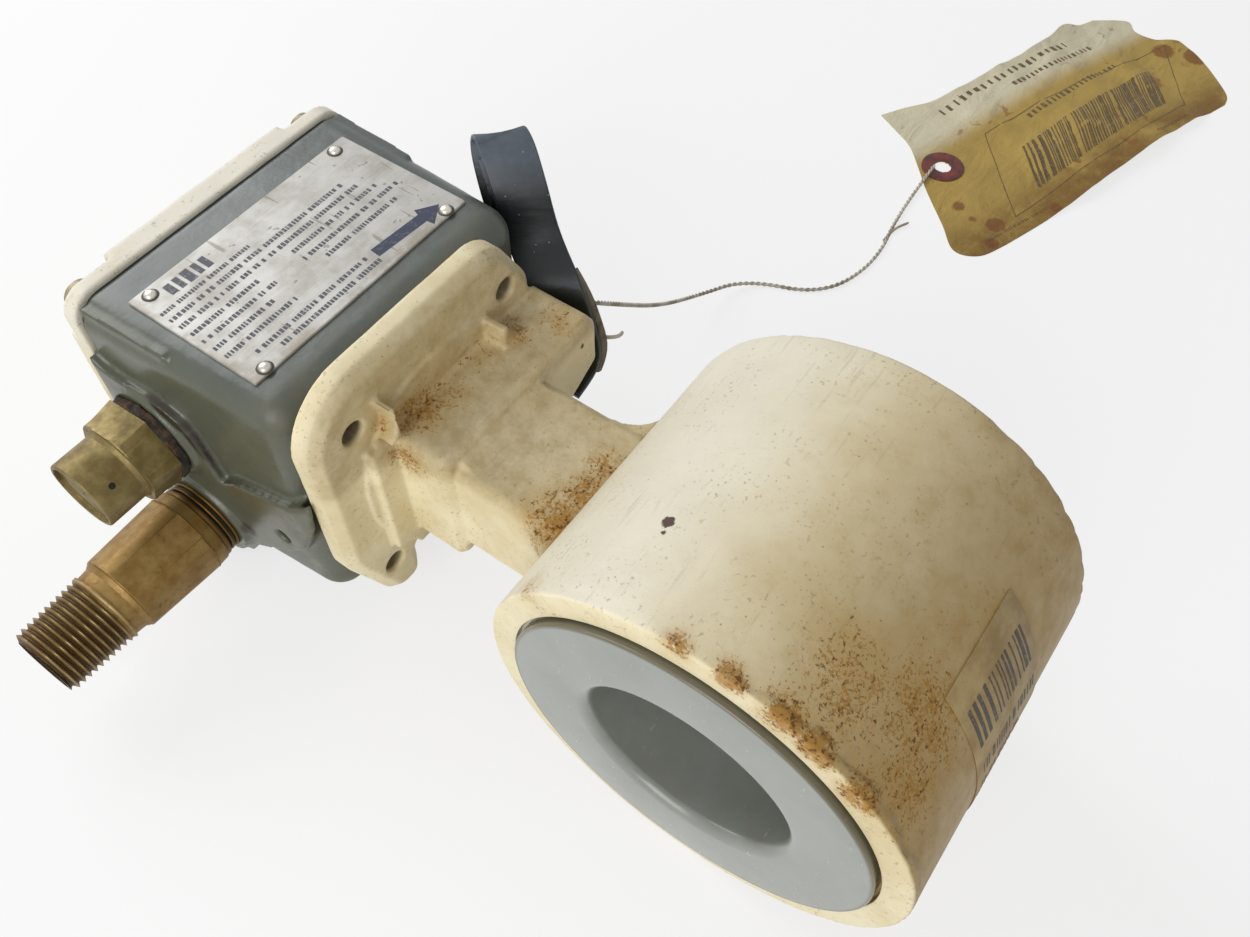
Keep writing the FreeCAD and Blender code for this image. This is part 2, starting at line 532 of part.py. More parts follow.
nip = nip.cut(rod(7.9, (INNER_X + 9.0, NIP_Y, NIP_Z), (nip_end - 8.0, NIP_Y, NIP_Z)))
nip = keep("conduit_nipple", nip)

# ---- Inside the box --------------------------------------------------------------
floor_y = BOX_Y0 + BOX_FLOOR
n = 0
for x, z in BOX_SCREW:
    n += 1
    s = peg(BOX_SCREW_R, (x, PLATE_Y1 - BOX_SCREW_DEPTH, z), (x, floor_y, z)).fuse(
        peg(4.2, (x, floor_y, z), (x, floor_y + 4.0, z)))
    keep("box_screw_%d" % n, s)
block_t = box(-24, 24, floor_y, floor_y + 16, -36, -24)
for k in range(6):
    x = -20 + 8 * k
    block_t = block_t.cut(box(x - 3, x + 3, floor_y + 10, floor_y + 17, -33, -27))
block_t = keep("terminal_block", block_t)
for k in range(6):
    x = -20 + 8 * k
    keep("terminal_screw_%d" % (k + 1), peg(2.4, (x, floor_y + 10, -30), (x, floor_y + 12.5, -30), 8))

sleeve = peg(WIRE_WAY_R - 0.05, (0, BODY_R - 4.0, 0), (0, floor_y + 3.0, 0), 16)
sleeve = sleeve.cut(peg(WIRE_WAY_R - 1.3, (0, 40, 0), (0, floor_y + 4.0, 0), 16))
keep("lead_sleeve", sleeve)

# ---- Strap and its tape -------------------------------------------------------------
STRAP_W, STRAP_T = 14.0, 1.7
# Centre and width direction of the strap's front layer at each height.
FRONT = [(16.0, 41.9, 97.4, 0.544, -0.839), (22.0, 46.8, 106.5, 0.577, -0.816),
         (34.0, 49.5, 112.4, 0.58, -0.81), (44.0, 54.2, 120.2, 0.80, -0.60)]
FOLD = V(0.62, 0.78, 0.0)


def front_at(z):
    lo, hi = FRONT[0], FRONT[-1]
    for a, b in zip(FRONT, FRONT[1:]):
        if a[0] <= z <= b[0]:
            lo, hi = a, b
    t = max(0.0, min(1.0, (z - lo[0]) / (hi[0] - lo[0])))
    c = [lo[i] + (hi[i] - lo[i]) * t for i in range(1, 5)]
    return V(c[0], c[1], z), V(c[2], c[3], 0).normalize()


def layer(s_, z):
    """A point s_ behind the strap's front layer at height z, with the width direction there."""
    c, w = front_at(z)
    return c + FOLD * s_, w


def frames(stations):
    """Centre, width direction and outward normal at each (centre, width direction) station."""
    out = []
    last = len(stations) - 1
    for i, (c, w) in enumerate(stations):
        d = (stations[min(i + 1, last)][0] - stations[max(i - 1, 0)][0]).normalize()
        n = d.cross(w).normalize()
        out.append((c, n.cross(d).normalize(), n))
    return out


def band(run, width, near, far):
    """Strip through a run of frames, from `near` to `far` along each normal."""
    rings = []
    for c, w, n in run:
        q = [c + w * (sx * width / 2) + n * t for sx, t in ((-1, near), (1, near), (1, far), (-1, far))]
        rings.append(Part.makePolygon(q + [q[0]]))
    return Part.makeLoft(rings, True, True)


end_run = [(V(30.0, 88.0, -8.0), V(0, -1, 0)), (V(37.6, 88.0, -5.0), V(0, -1, 0)), (V(40.2, 88.2, 0.5), V(0, -1, 0)),
           (V(40.9, 91.5, 8.0), V(0.2, -0.98, 0))]
loop = [layer(0, 16), layer(0, 22), layer(0, 34), layer(0.2, 42), layer(1.2, 44.6), layer(3.2, 45.6), layer(5.4, 44.4),
        layer(6.4, 41), layer(6.6, 30), layer(5.4, 24.5), layer(4.0, 25.5), layer(3.6, 31), layer(3.4, 36)]
strap_run = frames(end_run + loop)
TAPE_T = 2.0
strap = keep("strap", band(strap_run, STRAP_W, -STRAP_T / 2, STRAP_T / 2).cut(pedestal))
tape = keep("tape", band(strap_run[1:5], STRAP_W, STRAP_T / 2, STRAP_T / 2 + TAPE_T))

# ---- Tag on its string, lying on the surface ---------------------------------------
STRING_PATH = [(46.05, 86.45, 11.6), (55.0, 86.6, 3.0), (84.0, 92.0, -27.0),
               (110.0, 93.6, -46.0), (130.0, 87.0, FLOOR_Z + STRING_R), (139.0, 62.0, FLOOR_Z + STRING_R),
               (163.0, 54.5, FLOOR_Z + STRING_R), (190.0, 60.0, FLOOR_Z + STRING_R),
               (218.0, 60.5, FLOOR_Z + TAG_T + 0.4 + STRING_R)]


def cord(points, r):
    """Round cord of straight runs joined by tangent arcs; prints the arcs' radii."""
    pts = [V(*p) for p in points]
    edges, start, radii = [], pts[0], []
    for i in range(1, len(pts) - 1):
        u = (pts[i - 1] - pts[i])
        w = (pts[i + 1] - pts[i])
        cut = 0.45 * min(u.Length, w.Length)
        turn = math.pi - u.getAngle(w)
        u.normalize()
        w.normalize()
        rad = cut / math.tan(turn / 2)
        radii.append(rad)
        mid = (u + w).normalize()
        centre = pts[i] + mid * (rad / math.cos(turn / 2))
        a, b = pts[i] + u * cut, pts[i] + w * cut
        edges.append(Part.LineSegment(start, a).toShape())
        edges.append(Part.Arc(a, centre - mid * rad, b).toShape())
        start = b
    edges.append(Part.LineSegment(start, pts[-1]).toShape())
    wire = Part.Wire(edges)
    first = (pts[1] - pts[0]).normalize()
    across = first.cross(V(0, 0, 1)).normalize()
    up = first.cross(across)
    section = [pts[0] + across * (r * math.cos(k * math.pi / 4)) + up * (r * math.sin(k * math.pi / 4)) for k in range(8)]
    ring = Part.makePolygon(section + section[:1])
    tube = wire.makePipeShell([ring], True, False)
    length = wire.Length
    print("cord length %.1f, radii %s, volume %.1f of %.1f" % (
        length, ["%.0f" % k for k in radii], tube.Volume, 2 * math.sqrt(2) * r * r * length))
    return tube


keep("string", cord(STRING_PATH, STRING_R))
TAG_HOLE = (220.5, 58.0)
tag_dir = V(0.951, -0.309, 0)
# Heights of the paper along its length: flat at the eyelet, arched, and down again.
TAG_WAVE = [(-25, 0.0), (38, 0.0), (50, 0.8), (65, 2.6), (85, 4.0), (105, 3.6), (122, 2.0), (140, 0.0), (175, 0.0)]
low = [V(200, 64.5, 0) + tag_dir * (a - 8) + V(0, 0, FLOOR_Z + h) for a, h in TAG_WAVE]
ring_pts = low + [p + V(0, 0, TAG_T) for p in reversed(low)]
across = V(0.309, 0.951, 0)
sheet = Part.Face(Part.makePolygon([p - across * 90 for p in ring_pts + ring_pts[:1]])).extrude(across * 180)


def flat(points, z0, z1):
    """Straight-sided outline in the plane of the surface, from z0 to z1."""
    return prism([(x, y) for x, y in points], "z", z0, z1)


TAG_OUT = [(184.0, 38.5), (199.0, 21.5), (313.0, -16.0), (322.0, -14.5), (336.0, 3.0), (344.0, 15.0), (339.5, 30.0),
           (346.0, 37.5), (337.0, 48.5), (250.0, 79.0), (233.5, 91.5), (205.5, 59.5)]
tag = sheet.common(flat(TAG_OUT, FLOOR_Z - 1, FLOOR_Z + 20))
tag = tag.cut(peg(2.3, (TAG_HOLE[0], TAG_HOLE[1], FLOOR_Z - 1), (TAG_HOLE[0], TAG_HOLE[1], FLOOR_Z + 5)))
keep("tag", tag)
eye = peg(5.7, (TAG_HOLE[0], TAG_HOLE[1], FLOOR_Z + TAG_T), (TAG_HOLE[0], TAG_HOLE[1], FLOOR_Z + TAG_T + 0.3), 24)
keep("tag_eyelet", eye.cut(peg(2.3, (TAG_HOLE[0], TAG_HOLE[1], FLOOR_Z - 1), (TAG_HOLE[0], TAG_HOLE[1], FLOOR_Z + 5))))

# Sticker bent round the body, from the neck's far side over the top.
STICKER_X = (-13.5, 14.5)
STICKER_FROM, STICKER_TO = 46.0, 100.0   # degrees from the top, away from the neck
STICKER_T = 0.25
STICKER_GLUE = 0.05
skin = rod(BODY_R + STICKER_GLUE + STICKER_T, (STICKER_X[0], 0, 0), (STICKER_X[1], 0, 0))
skin = skin.cut(rod(BODY_R + STICKER_GLUE, (-20, 0, 0), (20, 0, 0)))
fan = [(0, 0)]
for deg in (STICKER_FROM, (STICKER_FROM + STICKER_TO) / 2, STICKER_TO):
    a = math.radians(deg)
    fan.append((-2 * BODY_R * math.sin(a), 2 * BODY_R * math.cos(a)))
keep("sticker", skin.common(prism(fan, "x", -20, 20)))

for name, s in NODES:
    b = s.BoundBox
    print("%-24s valid=%s vol=%9.1f  x %.1f..%.1f y %.1f..%.1f z %.1f..%.1f" % (
        name, s.isValid(), s.Volume, b.XMin, b.XMax, b.YMin, b.YMax, b.ZMin, b.ZMax))
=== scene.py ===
import math
import random

import bmesh
import bpy
from bpy.props import FloatProperty, FloatVectorProperty, IntProperty, PointerProperty
from bpy.types import Operator, Panel, PropertyGroup
from mathutils import Matrix, Vector, noise


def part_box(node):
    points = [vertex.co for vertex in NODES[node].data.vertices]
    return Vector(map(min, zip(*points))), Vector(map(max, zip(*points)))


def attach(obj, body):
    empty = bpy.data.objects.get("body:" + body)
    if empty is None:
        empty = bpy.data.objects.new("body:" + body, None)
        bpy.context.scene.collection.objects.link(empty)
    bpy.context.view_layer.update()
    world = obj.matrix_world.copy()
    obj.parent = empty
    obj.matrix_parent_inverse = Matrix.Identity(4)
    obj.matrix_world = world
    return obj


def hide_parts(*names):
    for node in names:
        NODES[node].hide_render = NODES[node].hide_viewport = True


bl_info = {
    "name": "Wafer Flow Meter",
    "version": (1, 0, 0),
    "blender": (4, 5, 0),
    "location": "View3D > Sidebar > Flow Meter",
    "description": "Dresses an electromagnetic flow meter and sets its stage",
    "category": "Object",
}

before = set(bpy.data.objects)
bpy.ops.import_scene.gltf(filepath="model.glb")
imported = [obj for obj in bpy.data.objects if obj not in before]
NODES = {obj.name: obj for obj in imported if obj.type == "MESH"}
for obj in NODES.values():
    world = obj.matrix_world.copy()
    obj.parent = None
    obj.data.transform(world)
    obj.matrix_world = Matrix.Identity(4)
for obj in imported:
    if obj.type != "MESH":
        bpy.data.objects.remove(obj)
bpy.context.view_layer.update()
MM = 0.001


# ---- Measures taken from the frame --------------------------------------------

def lowest(node):
    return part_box(node)[0] / MM


def highest(node):
    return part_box(node)[1] / MM


BODY_R = highest("meter_body").z
BODY_HALF = highest("meter_body").x
LINER_R = highest("liner").z
LINER_END = highest("liner").x
TUBE_R = highest("flow_tube").z
TUBE_END = highest("flow_tube").x
SURFACE_Z = -BODY_R
BORE_R = 25.0
LIP = 2.8                # rounding where the bore meets the face
FLANGE = 3.4             # thickness of the lining's flared faces
LINER_OUTSIDE = 28.2     # lining in the tube
GROOVE_GAP = 0.8         # round the flared faces
HEX_FLATS = 23.0
HEX_CORNER = 13.2
PLUG_TURN, NIPPLE_TURN = 55.0, 31.0   # degrees by which the hexagons are turned
NIPPLE_HEX_END = -77.6
THREAD_START = -82.6
THREAD_R, THREAD_DEPTH = 10.72, 1.18
THREAD_BORE = 8.0
THREAD_TAPER = 1 / 32.0  # radius lost along the thread
CARD_THICK = 0.3
WASHER_R = 7.8
LABEL_FROM, LABEL_TO = 46, 100        # degrees from the top of the body
LABEL_THICK, LABEL_GLUE = 0.25, 0.05


# ---- Shader maths ---------------------------------------------------------------

def maths(operation):
    """Python operator that adds a maths node of this kind."""
    def method(self, *others):
        return self.finish.node("ShaderNodeMath", dict(enumerate((self, *others))), operation=operation)
    return method


class Signal:
    """A socket in a finish, so that shader maths reads as Python."""
    __add__ = __radd__ = maths("ADD")
    __sub__ = maths("SUBTRACT")
    __mul__ = __rmul__ = maths("MULTIPLY")
    __pow__ = maths("POWER")
    __abs__ = maths("ABSOLUTE")
    larger = maths("MAXIMUM")

    def __init__(self, finish, socket):
        self.finish = finish
        self.socket = socket

    def rise(self, low, high):
        """0 below `low`, 1 above `high`, smooth between; it falls where high is under low."""
        return self.finish.node("ShaderNodeMapRange", {"Value": self, "From Min": low, "From Max": high},
                                interpolation_type="SMOOTHSTEP")

    def within(self, low, high, soft):
        return self.rise(low - soft, low + soft) * self.rise(high + soft, high - soft)


class Finish:
    """One material under construction. Lengths in its patterns are millimetres."""

    def __init__(self, name, owner=None):
        self.owner = owner or bpy.data.materials.new(name)
        self.owner.use_nodes = True
        self.tree = self.owner.node_tree
        self.tree.nodes.clear()
        self.place = None
        self.tone = None

    def node(self, kind, values=None, out=0, **settings):
        made = self.tree.nodes.new(kind)
        for key, value in settings.items():
            setattr(made, key, value)
        for key, value in (values or {}).items():
            self.feed(made.inputs[key], value)
        return Signal(self, made.outputs[out])

    def feed(self, socket, value):
        if isinstance(value, Signal):
            self.tree.links.new(value.socket, socket)
        elif socket.type == "RGBA":
            socket.default_value = (*value[:3], 1.0)
        else:
            socket.default_value = value

    def vector(self, operation, values, out=0):
        return self.node("ShaderNodeVectorMath", values, out, operation=operation)

    def at(self):
        """Place on the object, in millimetres."""
        if self.place is None:
            spot = self.node("ShaderNodeTexCoord", out="Object")
            self.place = self.vector("SCALE", {0: spot, "Scale": 1.0 / MM})
        return self.place

    def axes(self):
        split = self.node("ShaderNodeSeparateXYZ", {0: self.at()})
        return [Signal(self, socket) for socket in split.socket.node.outputs]

    def stretched(self, scale, shift=(0, 0, 0)):
        """The place with each axis scaled, for grain that runs one way."""
        return self.vector("MULTIPLY_ADD", {0: self.at(), 1: scale, 2: shift})

    def noise(self, size, detail=3.0, rough=0.5, warp=0.0, where=None):
        return self.node("ShaderNodeTexNoise", {"Vector": where or self.at(), "Scale": 1.0 / size,
                                                "Detail": detail, "Roughness": rough, "Distortion": warp})

    def cells(self, size):
        return self.node("ShaderNodeTexVoronoi", {"Vector": self.at(), "Scale": 1.0 / size})

    def from_point(self, point):
        """Distance from a point, in millimetres."""
        return self.vector("DISTANCE", {0: self.at(), 1: point}, "Value")

    def mix(self, share, first, second):
        return self.node("ShaderNodeMix", {0: share, 6: first, 7: second}, 2, data_type="RGBA")

    def coat(self, share, colour):
        """Lay a colour over what is there, with `share` as its cover."""
        self.tone = self.mix(share, self.tone, colour)

    def bump(self, height, depth):
        """Normal for a height from 0 to 1 that stands `depth` millimetres."""
        return self.node("ShaderNodeBump", {"Height": height, "Distance": depth * MM, "Strength": 1.0})

    def surface(self, rough, normal, **more):
        """Principled surface; inputs in `more` have underscores for spaces."""
        inputs = {key.replace("_", " "): value for key, value in more.items()}
        return self.close(self.node("ShaderNodeBsdfPrincipled", {"Base Color": self.tone, "Roughness": rough,
                                                                 "Normal": normal, **inputs}))

    def close(self, shader, kind="ShaderNodeOutputMaterial"):
        self.feed(self.tree.nodes.new(kind).inputs[0], shader)
        return self.owner

    def plain_for_rays(self, plain, share, lit, kind="ShaderNodeOutputMaterial"):
        """`plain` with this share for camera, glossy and transmission rays, and `lit` for all others."""
        path = self.node("ShaderNodeLightPath").socket.node
        camera, glossy, through = [Signal(self, path.outputs["Is %s Ray" % name])
                                   for name in ("Camera", "Glossy", "Transmission")]
        seen = camera.larger(glossy).larger(through) * share
        return self.close(self.node("ShaderNodeMixShader", {0: seen, 1: lit, 2: plain}), kind)


def srgb(r, g, b):
    """Linear colour from the 0 to 255 values a person would pick."""
    return tuple(((c / 255 + 0.055) / 1.055) ** 2.4 if c > 10 else c / 255 / 12.92 for c in (r, g, b))


RUST_DARK = srgb(82, 48, 20)
RUST_LIGHT = srgb(164, 116, 42)
GRIME = srgb(96, 76, 44)


# ---- Mesh helpers ---------------------------------------------------------------

def add_piece(name, mesh, material, slot=None, replaces=(), sharp=None):
    """Link a mesh as a piece that rides on the part."""
    piece = bpy.data.objects.new(name, mesh)
    bpy.context.scene.collection.objects.link(piece)
    mesh.materials.clear()
    mesh.materials.append(material)
    mesh.shade_smooth()
    if sharp is not None:
        mesh.set_sharp_from_angle(angle=math.radians(sharp))
    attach(piece, "root")
    if replaces:
        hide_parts(*replaces)
    return piece


def mesh_from(name, points, faces):
    """Mesh from points in millimetres."""
    mesh = bpy.data.meshes.new(name)
    mesh.from_pydata([tuple(c * MM for c in p) for p in points], [], faces)
    mesh.validate()
    tidy = bmesh.new()
    tidy.from_mesh(mesh)
    bmesh.ops.recalc_face_normals(tidy, faces=tidy.faces)
    tidy.to_mesh(mesh)
    tidy.free()
    return mesh


def circle(count):
    """Angles of `count` even steps round a circle."""
    return [2 * math.pi * k / count for k in range(count)]


def ring(x, centre, radius, count):
    """Points round the X axis through `centre` (y, z)."""
    return [(x, centre[0] + radius * math.cos(a), centre[1] + radius * math.sin(a)) for a in circle(count)]


def grid_faces(rows, columns, close_rows=False, close_columns=False, capped=False):
    faces = []
    for i in range(rows if close_rows else rows - 1):
        for j in range(columns if close_columns else columns - 1):
            a, b = i * columns + j, i * columns + (j + 1) % columns
            k = (i + 1) % rows
            faces.append((a, b, k * columns + (j + 1) % columns, k * columns + j))
    if capped:
        faces += [tuple(range(columns)), tuple(range((rows - 1) * columns, rows * columns))]
    return faces


def slab(name, outline, rise, material, **extra):
    """Closed outline of points, raised by a vector into a thin solid."""
    points = outline + [tuple(Vector(p) + Vector(rise)) for p in outline]
    faces = grid_faces(2, len(outline), close_columns=True, capped=True)
    return add_piece(name, mesh_from(name, points, faces), material, **extra)


def rounded(corners, steps=5):
    """Closed outline through (u, v, radius) corners, each corner turned into a short arc."""
    out = []
    count = len(corners)
    for i, (u, v, radius) in enumerate(corners):
        here = Vector((u, v))
        before = Vector(corners[i - 1][:2]) - here
        after = Vector(corners[(i + 1) % count][:2]) - here
        if radius <= 0:
            out.append((u, v))
            continue
        half = before.angle(after) / 2
        cut = min(radius / math.tan(half), before.length * 0.48, after.length * 0.48)
        real = cut * math.tan(half)
        centre = here + (before.normalized() + after.normalized()).normalized() * (real / math.sin(half))
        start = here + before.normalized() * cut - centre
        end = here + after.normalized() * cut - centre
        turn = start.angle_signed(end)
        for k in range(steps + 1):
            arm = start.copy()
            arm.rotate(Matrix.Rotation(-turn * k / steps, 2))
            out.append(tuple(centre + arm))
    return out


def lathe(name, outline, material, centre=(0.0, 0.0), around=192, shape=None, **extra):
    """Closed ring turned about the X axis through `centre` (y, z) from (x, r) points."""
    points = []
    for x, r in outline:
        for a in circle(around):
            radius = shape(x, r, a) if shape else r
            points.append((x, centre[0] + radius * math.cos(a), centre[1] + radius * math.sin(a)))
    faces = grid_faces(len(outline), around, close_rows=True, close_columns=True)
    return add_piece(name, mesh_from(name, points, faces), material, **extra)


def remeshed(name, nodes, voxel, passes, fillers=(), wobble=0.0, wobble_size=6.0):
    """Copy of CAD nodes as one skin with softened edges, like a casting."""
    work = bmesh.new()
    for node in nodes:
        work.from_mesh(NODES[node].data)
    for low, high in fillers:
        low, high = Vector(low) * MM, Vector(high) * MM
        size = high - low
        place = Matrix.Translation((low + high) / 2) @ Matrix.Diagonal((*size, 1.0))
        bmesh.ops.create_cube(work, size=1.0, matrix=place)
    rough = bpy.data.meshes.new(name)
    work.to_mesh(rough)
    work.free()
    holder = bpy.data.objects.new(name + "_work", rough)
    bpy.context.scene.collection.objects.link(holder)
    skin = holder.modifiers.new("skin", "REMESH")
    skin.mode = "VOXEL"
    skin.voxel_size = voxel * MM
    soft = holder.modifiers.new("soft", "SMOOTH")
    soft.factor = 0.5
    soft.iterations = passes
    graph = bpy.context.evaluated_depsgraph_get()
    mesh = bpy.data.meshes.new_from_object(holder.evaluated_get(graph))
    mesh.name = name
    bpy.data.objects.remove(holder)
    bpy.data.meshes.remove(rough)
    if wobble:
        places = [v.co.copy() for v in mesh.vertices]
        normals = [n.vector.copy() for n in mesh.vertex_normals]
        moved = []
        for place, normal in zip(places, normals):
            n = noise.noise(place / (wobble_size * MM))
            moved.extend(place + normal * (n * wobble * MM))
        mesh.vertices.foreach_set("co", moved)
        mesh.update()
    return mesh


def smooth_line(points, steps):
    """Catmull-Rom line through vectors of any size."""
    out = []
    last = len(points) - 1
    for i in range(last):
        p0, p1, p2, p3 = points[max(i - 1, 0)], points[i], points[i + 1], points[min(i + 2, last)]
        for k in range(steps):
            t = k / steps
            out.append(0.5 * ((2 * p1) + (p2 - p0) * t + (2 * p0 - 5 * p1 + 4 * p2 - p3) * t * t
                              + (3 * p1 - p0 - 3 * p2 + p3) * t * t * t))
    out.append(points[last].copy())
    return out


def ribbon(name, run, width, near, far, material, edge=0.5, **extra):
    """Flat band through (centre, width direction) stations, with rounded edges."""
    centres = smooth_line([Vector(c) for c, _ in run], 6)
    widths = smooth_line([Vector(w) for _, w in run], 6)
    section = rounded([(-width / 2, near, edge), (width / 2, near, edge),
                       (width / 2, far, edge), (-width / 2, far, edge)], 3)
    points = []
    last = len(centres) - 1
    for i, c in enumerate(centres):
        d = (centres[min(i + 1, last)] - centres[max(i - 1, 0)]).normalized()
        n = d.cross(widths[i]).normalized()
        w = n.cross(d).normalized()
        points += [c + w * u + n * v for u, v in section]
    faces = grid_faces(len(centres), len(section), close_columns=True, capped=True)
    return add_piece(name, mesh_from(name, points, faces), material, **extra)


def bars(name, boxes, material, **extra):
    """Thin printed marks, each with its centre, two half-width vectors and its thickness."""
    points, faces = [], []
    for c, u, v, t in boxes:
        c, u, v = Vector(c), Vector(u), Vector(v)
        n = u.cross(v).normalized() * t
        base = len(points)
        for lift in (0, 1):
            points += [c - u - v + n * lift, c + u - v + n * lift, c + u + v + n * lift, c - u + v + n * lift]
        faces += [(base + 4, base + 5, base + 6, base + 7)]
        faces += [(base + i, base + (i + 1) % 4, base + 4 + (i + 1) % 4, base + 4 + i) for i in range(4)]
    return add_piece(name, mesh_from(name, points, faces), material, sharp=20, **extra)


# ---- Finishes -------------------------------------------------------------------

def cream_paint(name, clean, stained, rust_spots, darker_side=None, darker_top=None, chips=(), paler_side=None,
                shaded_bores=()):
    """Old cream enamel: mottled, speckled and rusting round its (point, reach, density) spots."""
    f = Finish(name)
    x, y, z = f.axes()
    cloud = f.noise(26.0, 4.0, 0.6)
    mottle = f.noise(5.0, 5.0, 0.65)
    fine = f.noise(1.1, 4.0, 0.62)
    f.tone = f.mix(cloud.rise(0.35, 0.68) * 0.45, clean, stained)
    f.coat(mottle.rise(0.5, 0.8) * 0.3, stained)
    # Paler and darker tones over one side: on the body sleeve these are painted light on its lit side and
    # painted shade on the side away from the lamps
    if paler_side:
        f.coat(paler_side(x, y, z) * (mottle * 0.5 + 0.6), srgb(226, 223, 212))
    if darker_side:
        f.coat(darker_side(x, y, z) * (mottle * 0.45 + 0.6), srgb(150, 114, 38))
    # Darker and browner on the neck's top face
    if darker_top:
        f.coat(darker_top(x, y, z) * (mottle.rise(0.2, 0.75) * 0.5 + 0.35), srgb(156, 130, 80))
    specks = fine.rise(0.58, 0.68) * f.noise(14.0, 3.0).rise(0.4, 0.62)
    pits = f.cells(2.2).rise(0.13, 0.05) * f.noise(9.0).rise(0.5, 0.6)
    f.coat((specks * 0.4).larger(pits * 0.6), GRIME)
    streak = f.noise(1.0, 3.0, 0.6, where=f.stretched((0.05, 0.5, 0.5))).rise(0.6, 0.72)
    f.coat(streak * 0.22, srgb(150, 138, 108))
    blot = f.noise(3.6, 4.0, 0.62)
    rust = None
    for point, reach, density in rust_spots:
        near = f.from_point(point).rise(reach, reach * 0.1) * density
        rust = near if rust is None else rust.larger(near)
    grit = f.noise(0.75, 3.0, 0.65)
    cover = (grit * 0.7 + blot * 0.3 + rust * 0.22).rise(0.62, 0.7) * rust.rise(0.02, 0.15)
    haze = rust * (blot * 0.6 + cloud * 0.4).rise(0.3, 0.6) * 0.85
    f.coat(haze, srgb(176, 138, 66))
    f.coat(cover * 0.7, RUST_LIGHT)
    f.coat(cover * fine.rise(0.5, 0.62) * 0.85, RUST_DARK)
    # Painted shade: the bolt holes through the plate are painted dark brown inside, where shade falls
    for across, along, reach in shaded_bores:
        inside = ((x - across) ** 2.0 + (z - along) ** 2.0).rise((reach + 0.15) ** 2, (reach - 0.15) ** 2)
        deep = y.rise(98.3, 99.6)
        f.coat(inside * (deep * 0.9), srgb(34, 24, 12))
    relief = fine * 0.3 + mottle * 0.35 + cover * fine * 0.6
    for point, reach in chips:
        hole = (f.from_point(point) + fine * 2.0).rise(reach + 1.25, reach + 0.85)
        f.coat(hole, srgb(62, 26, 16))
        relief = relief - hole * 1.5
    rough = specks * 0.2 + cover * 0.3 + mottle * 0.16 + 0.42
    return f.surface(rough, f.bump(relief, 0.16), Specular_IOR_Level=0.4)


def body_paint(clean, stained):
    spots = [((-27, -23, 46), 19, 0.6), ((-20, -37, 37), 22, 0.7), ((-30, -40, 34), 16, 0.7),
             ((-21, -20, 48), 10, 0.5), ((-39, -17, 49), 8, 1.1), ((-40, -6, 52), 6, 1.3),
             ((-40, -24, 46), 7, 1.4), ((-40, 5, 52), 5, 1.1), ((-40, -34, 39), 8, 1.1),
             ((-12, 49, 16), 9, 0.5), ((-2, 50, 15), 8, 0.45), ((-38, 40, 32), 6, 0.5)]
    return cream_paint("body_enamel", clean, stained, spots,
                       # Painted shade: the sleeve's -Y side, turned from the lamps, is painted darker and
                       # yellow-brown. Painted light: its +Y side is painted paler.
                       darker_side=lambda x, y, z: y.rise(20, -46) * x.rise(-40.35, -39.6) * 0.95,
                       paler_side=lambda x, y, z: y.rise(-12, 30) * x.rise(-40.35, -39.6) * 0.75,
                       chips=[((-17.4, 21.8, 47.2), 1.3), ((-20.0, 21.0, 47.6), 0.4)])


def pedestal_paint(clean, stained):
    spots = [((-12, 96, 17), 13, 0.95), ((-5, 93, 17), 11, 0.7), ((-15, 53, 16), 12, 1.0),
             ((-6, 51, 17), 11, 0.95), ((3, 52, 17), 9, 0.75), ((-18, 54, 10), 9, 0.7),
             ((-20, 92, 14), 9, 0.8), ((20, 92, 21), 9, 0.6), ((-20, 98, 24), 7, 0.8),
             ((10, 96, 17), 12, 0.5), ((28, 86, 20), 9, 0.5)]
    return cream_paint("pedestal_enamel", clean, stained, spots,
                       # The neck's top face is painted darker and browner
                       darker_top=lambda x, y, z: z.rise(11.5, 16.5) * y.rise(104, 96) * 0.8,
                       chips=[((31.4, 80.0, 12.7), 0.7)],
                       # The plate's four bolt holes, painted dark inside as painted shade
                       shaded_bores=[(x, z, 3.3) for x in (-29.1, 24.5) for z in (-28.4, 28.4)])


def cover_paint(clean, stained):
    spots = [((-44, 172, -20), 26, 0.45), ((-30, 176, 30), 14, 0.35)]
    return cream_paint("cover_enamel", clean, stained, spots,
                       # Darker and yellow-brown towards the bottom of the cover, paler towards its top
                       darker_side=lambda x, y, z: z.rise(20, -40) * 0.5,
                       paler_side=lambda x, y, z: z.rise(10, 30) * 0.9)


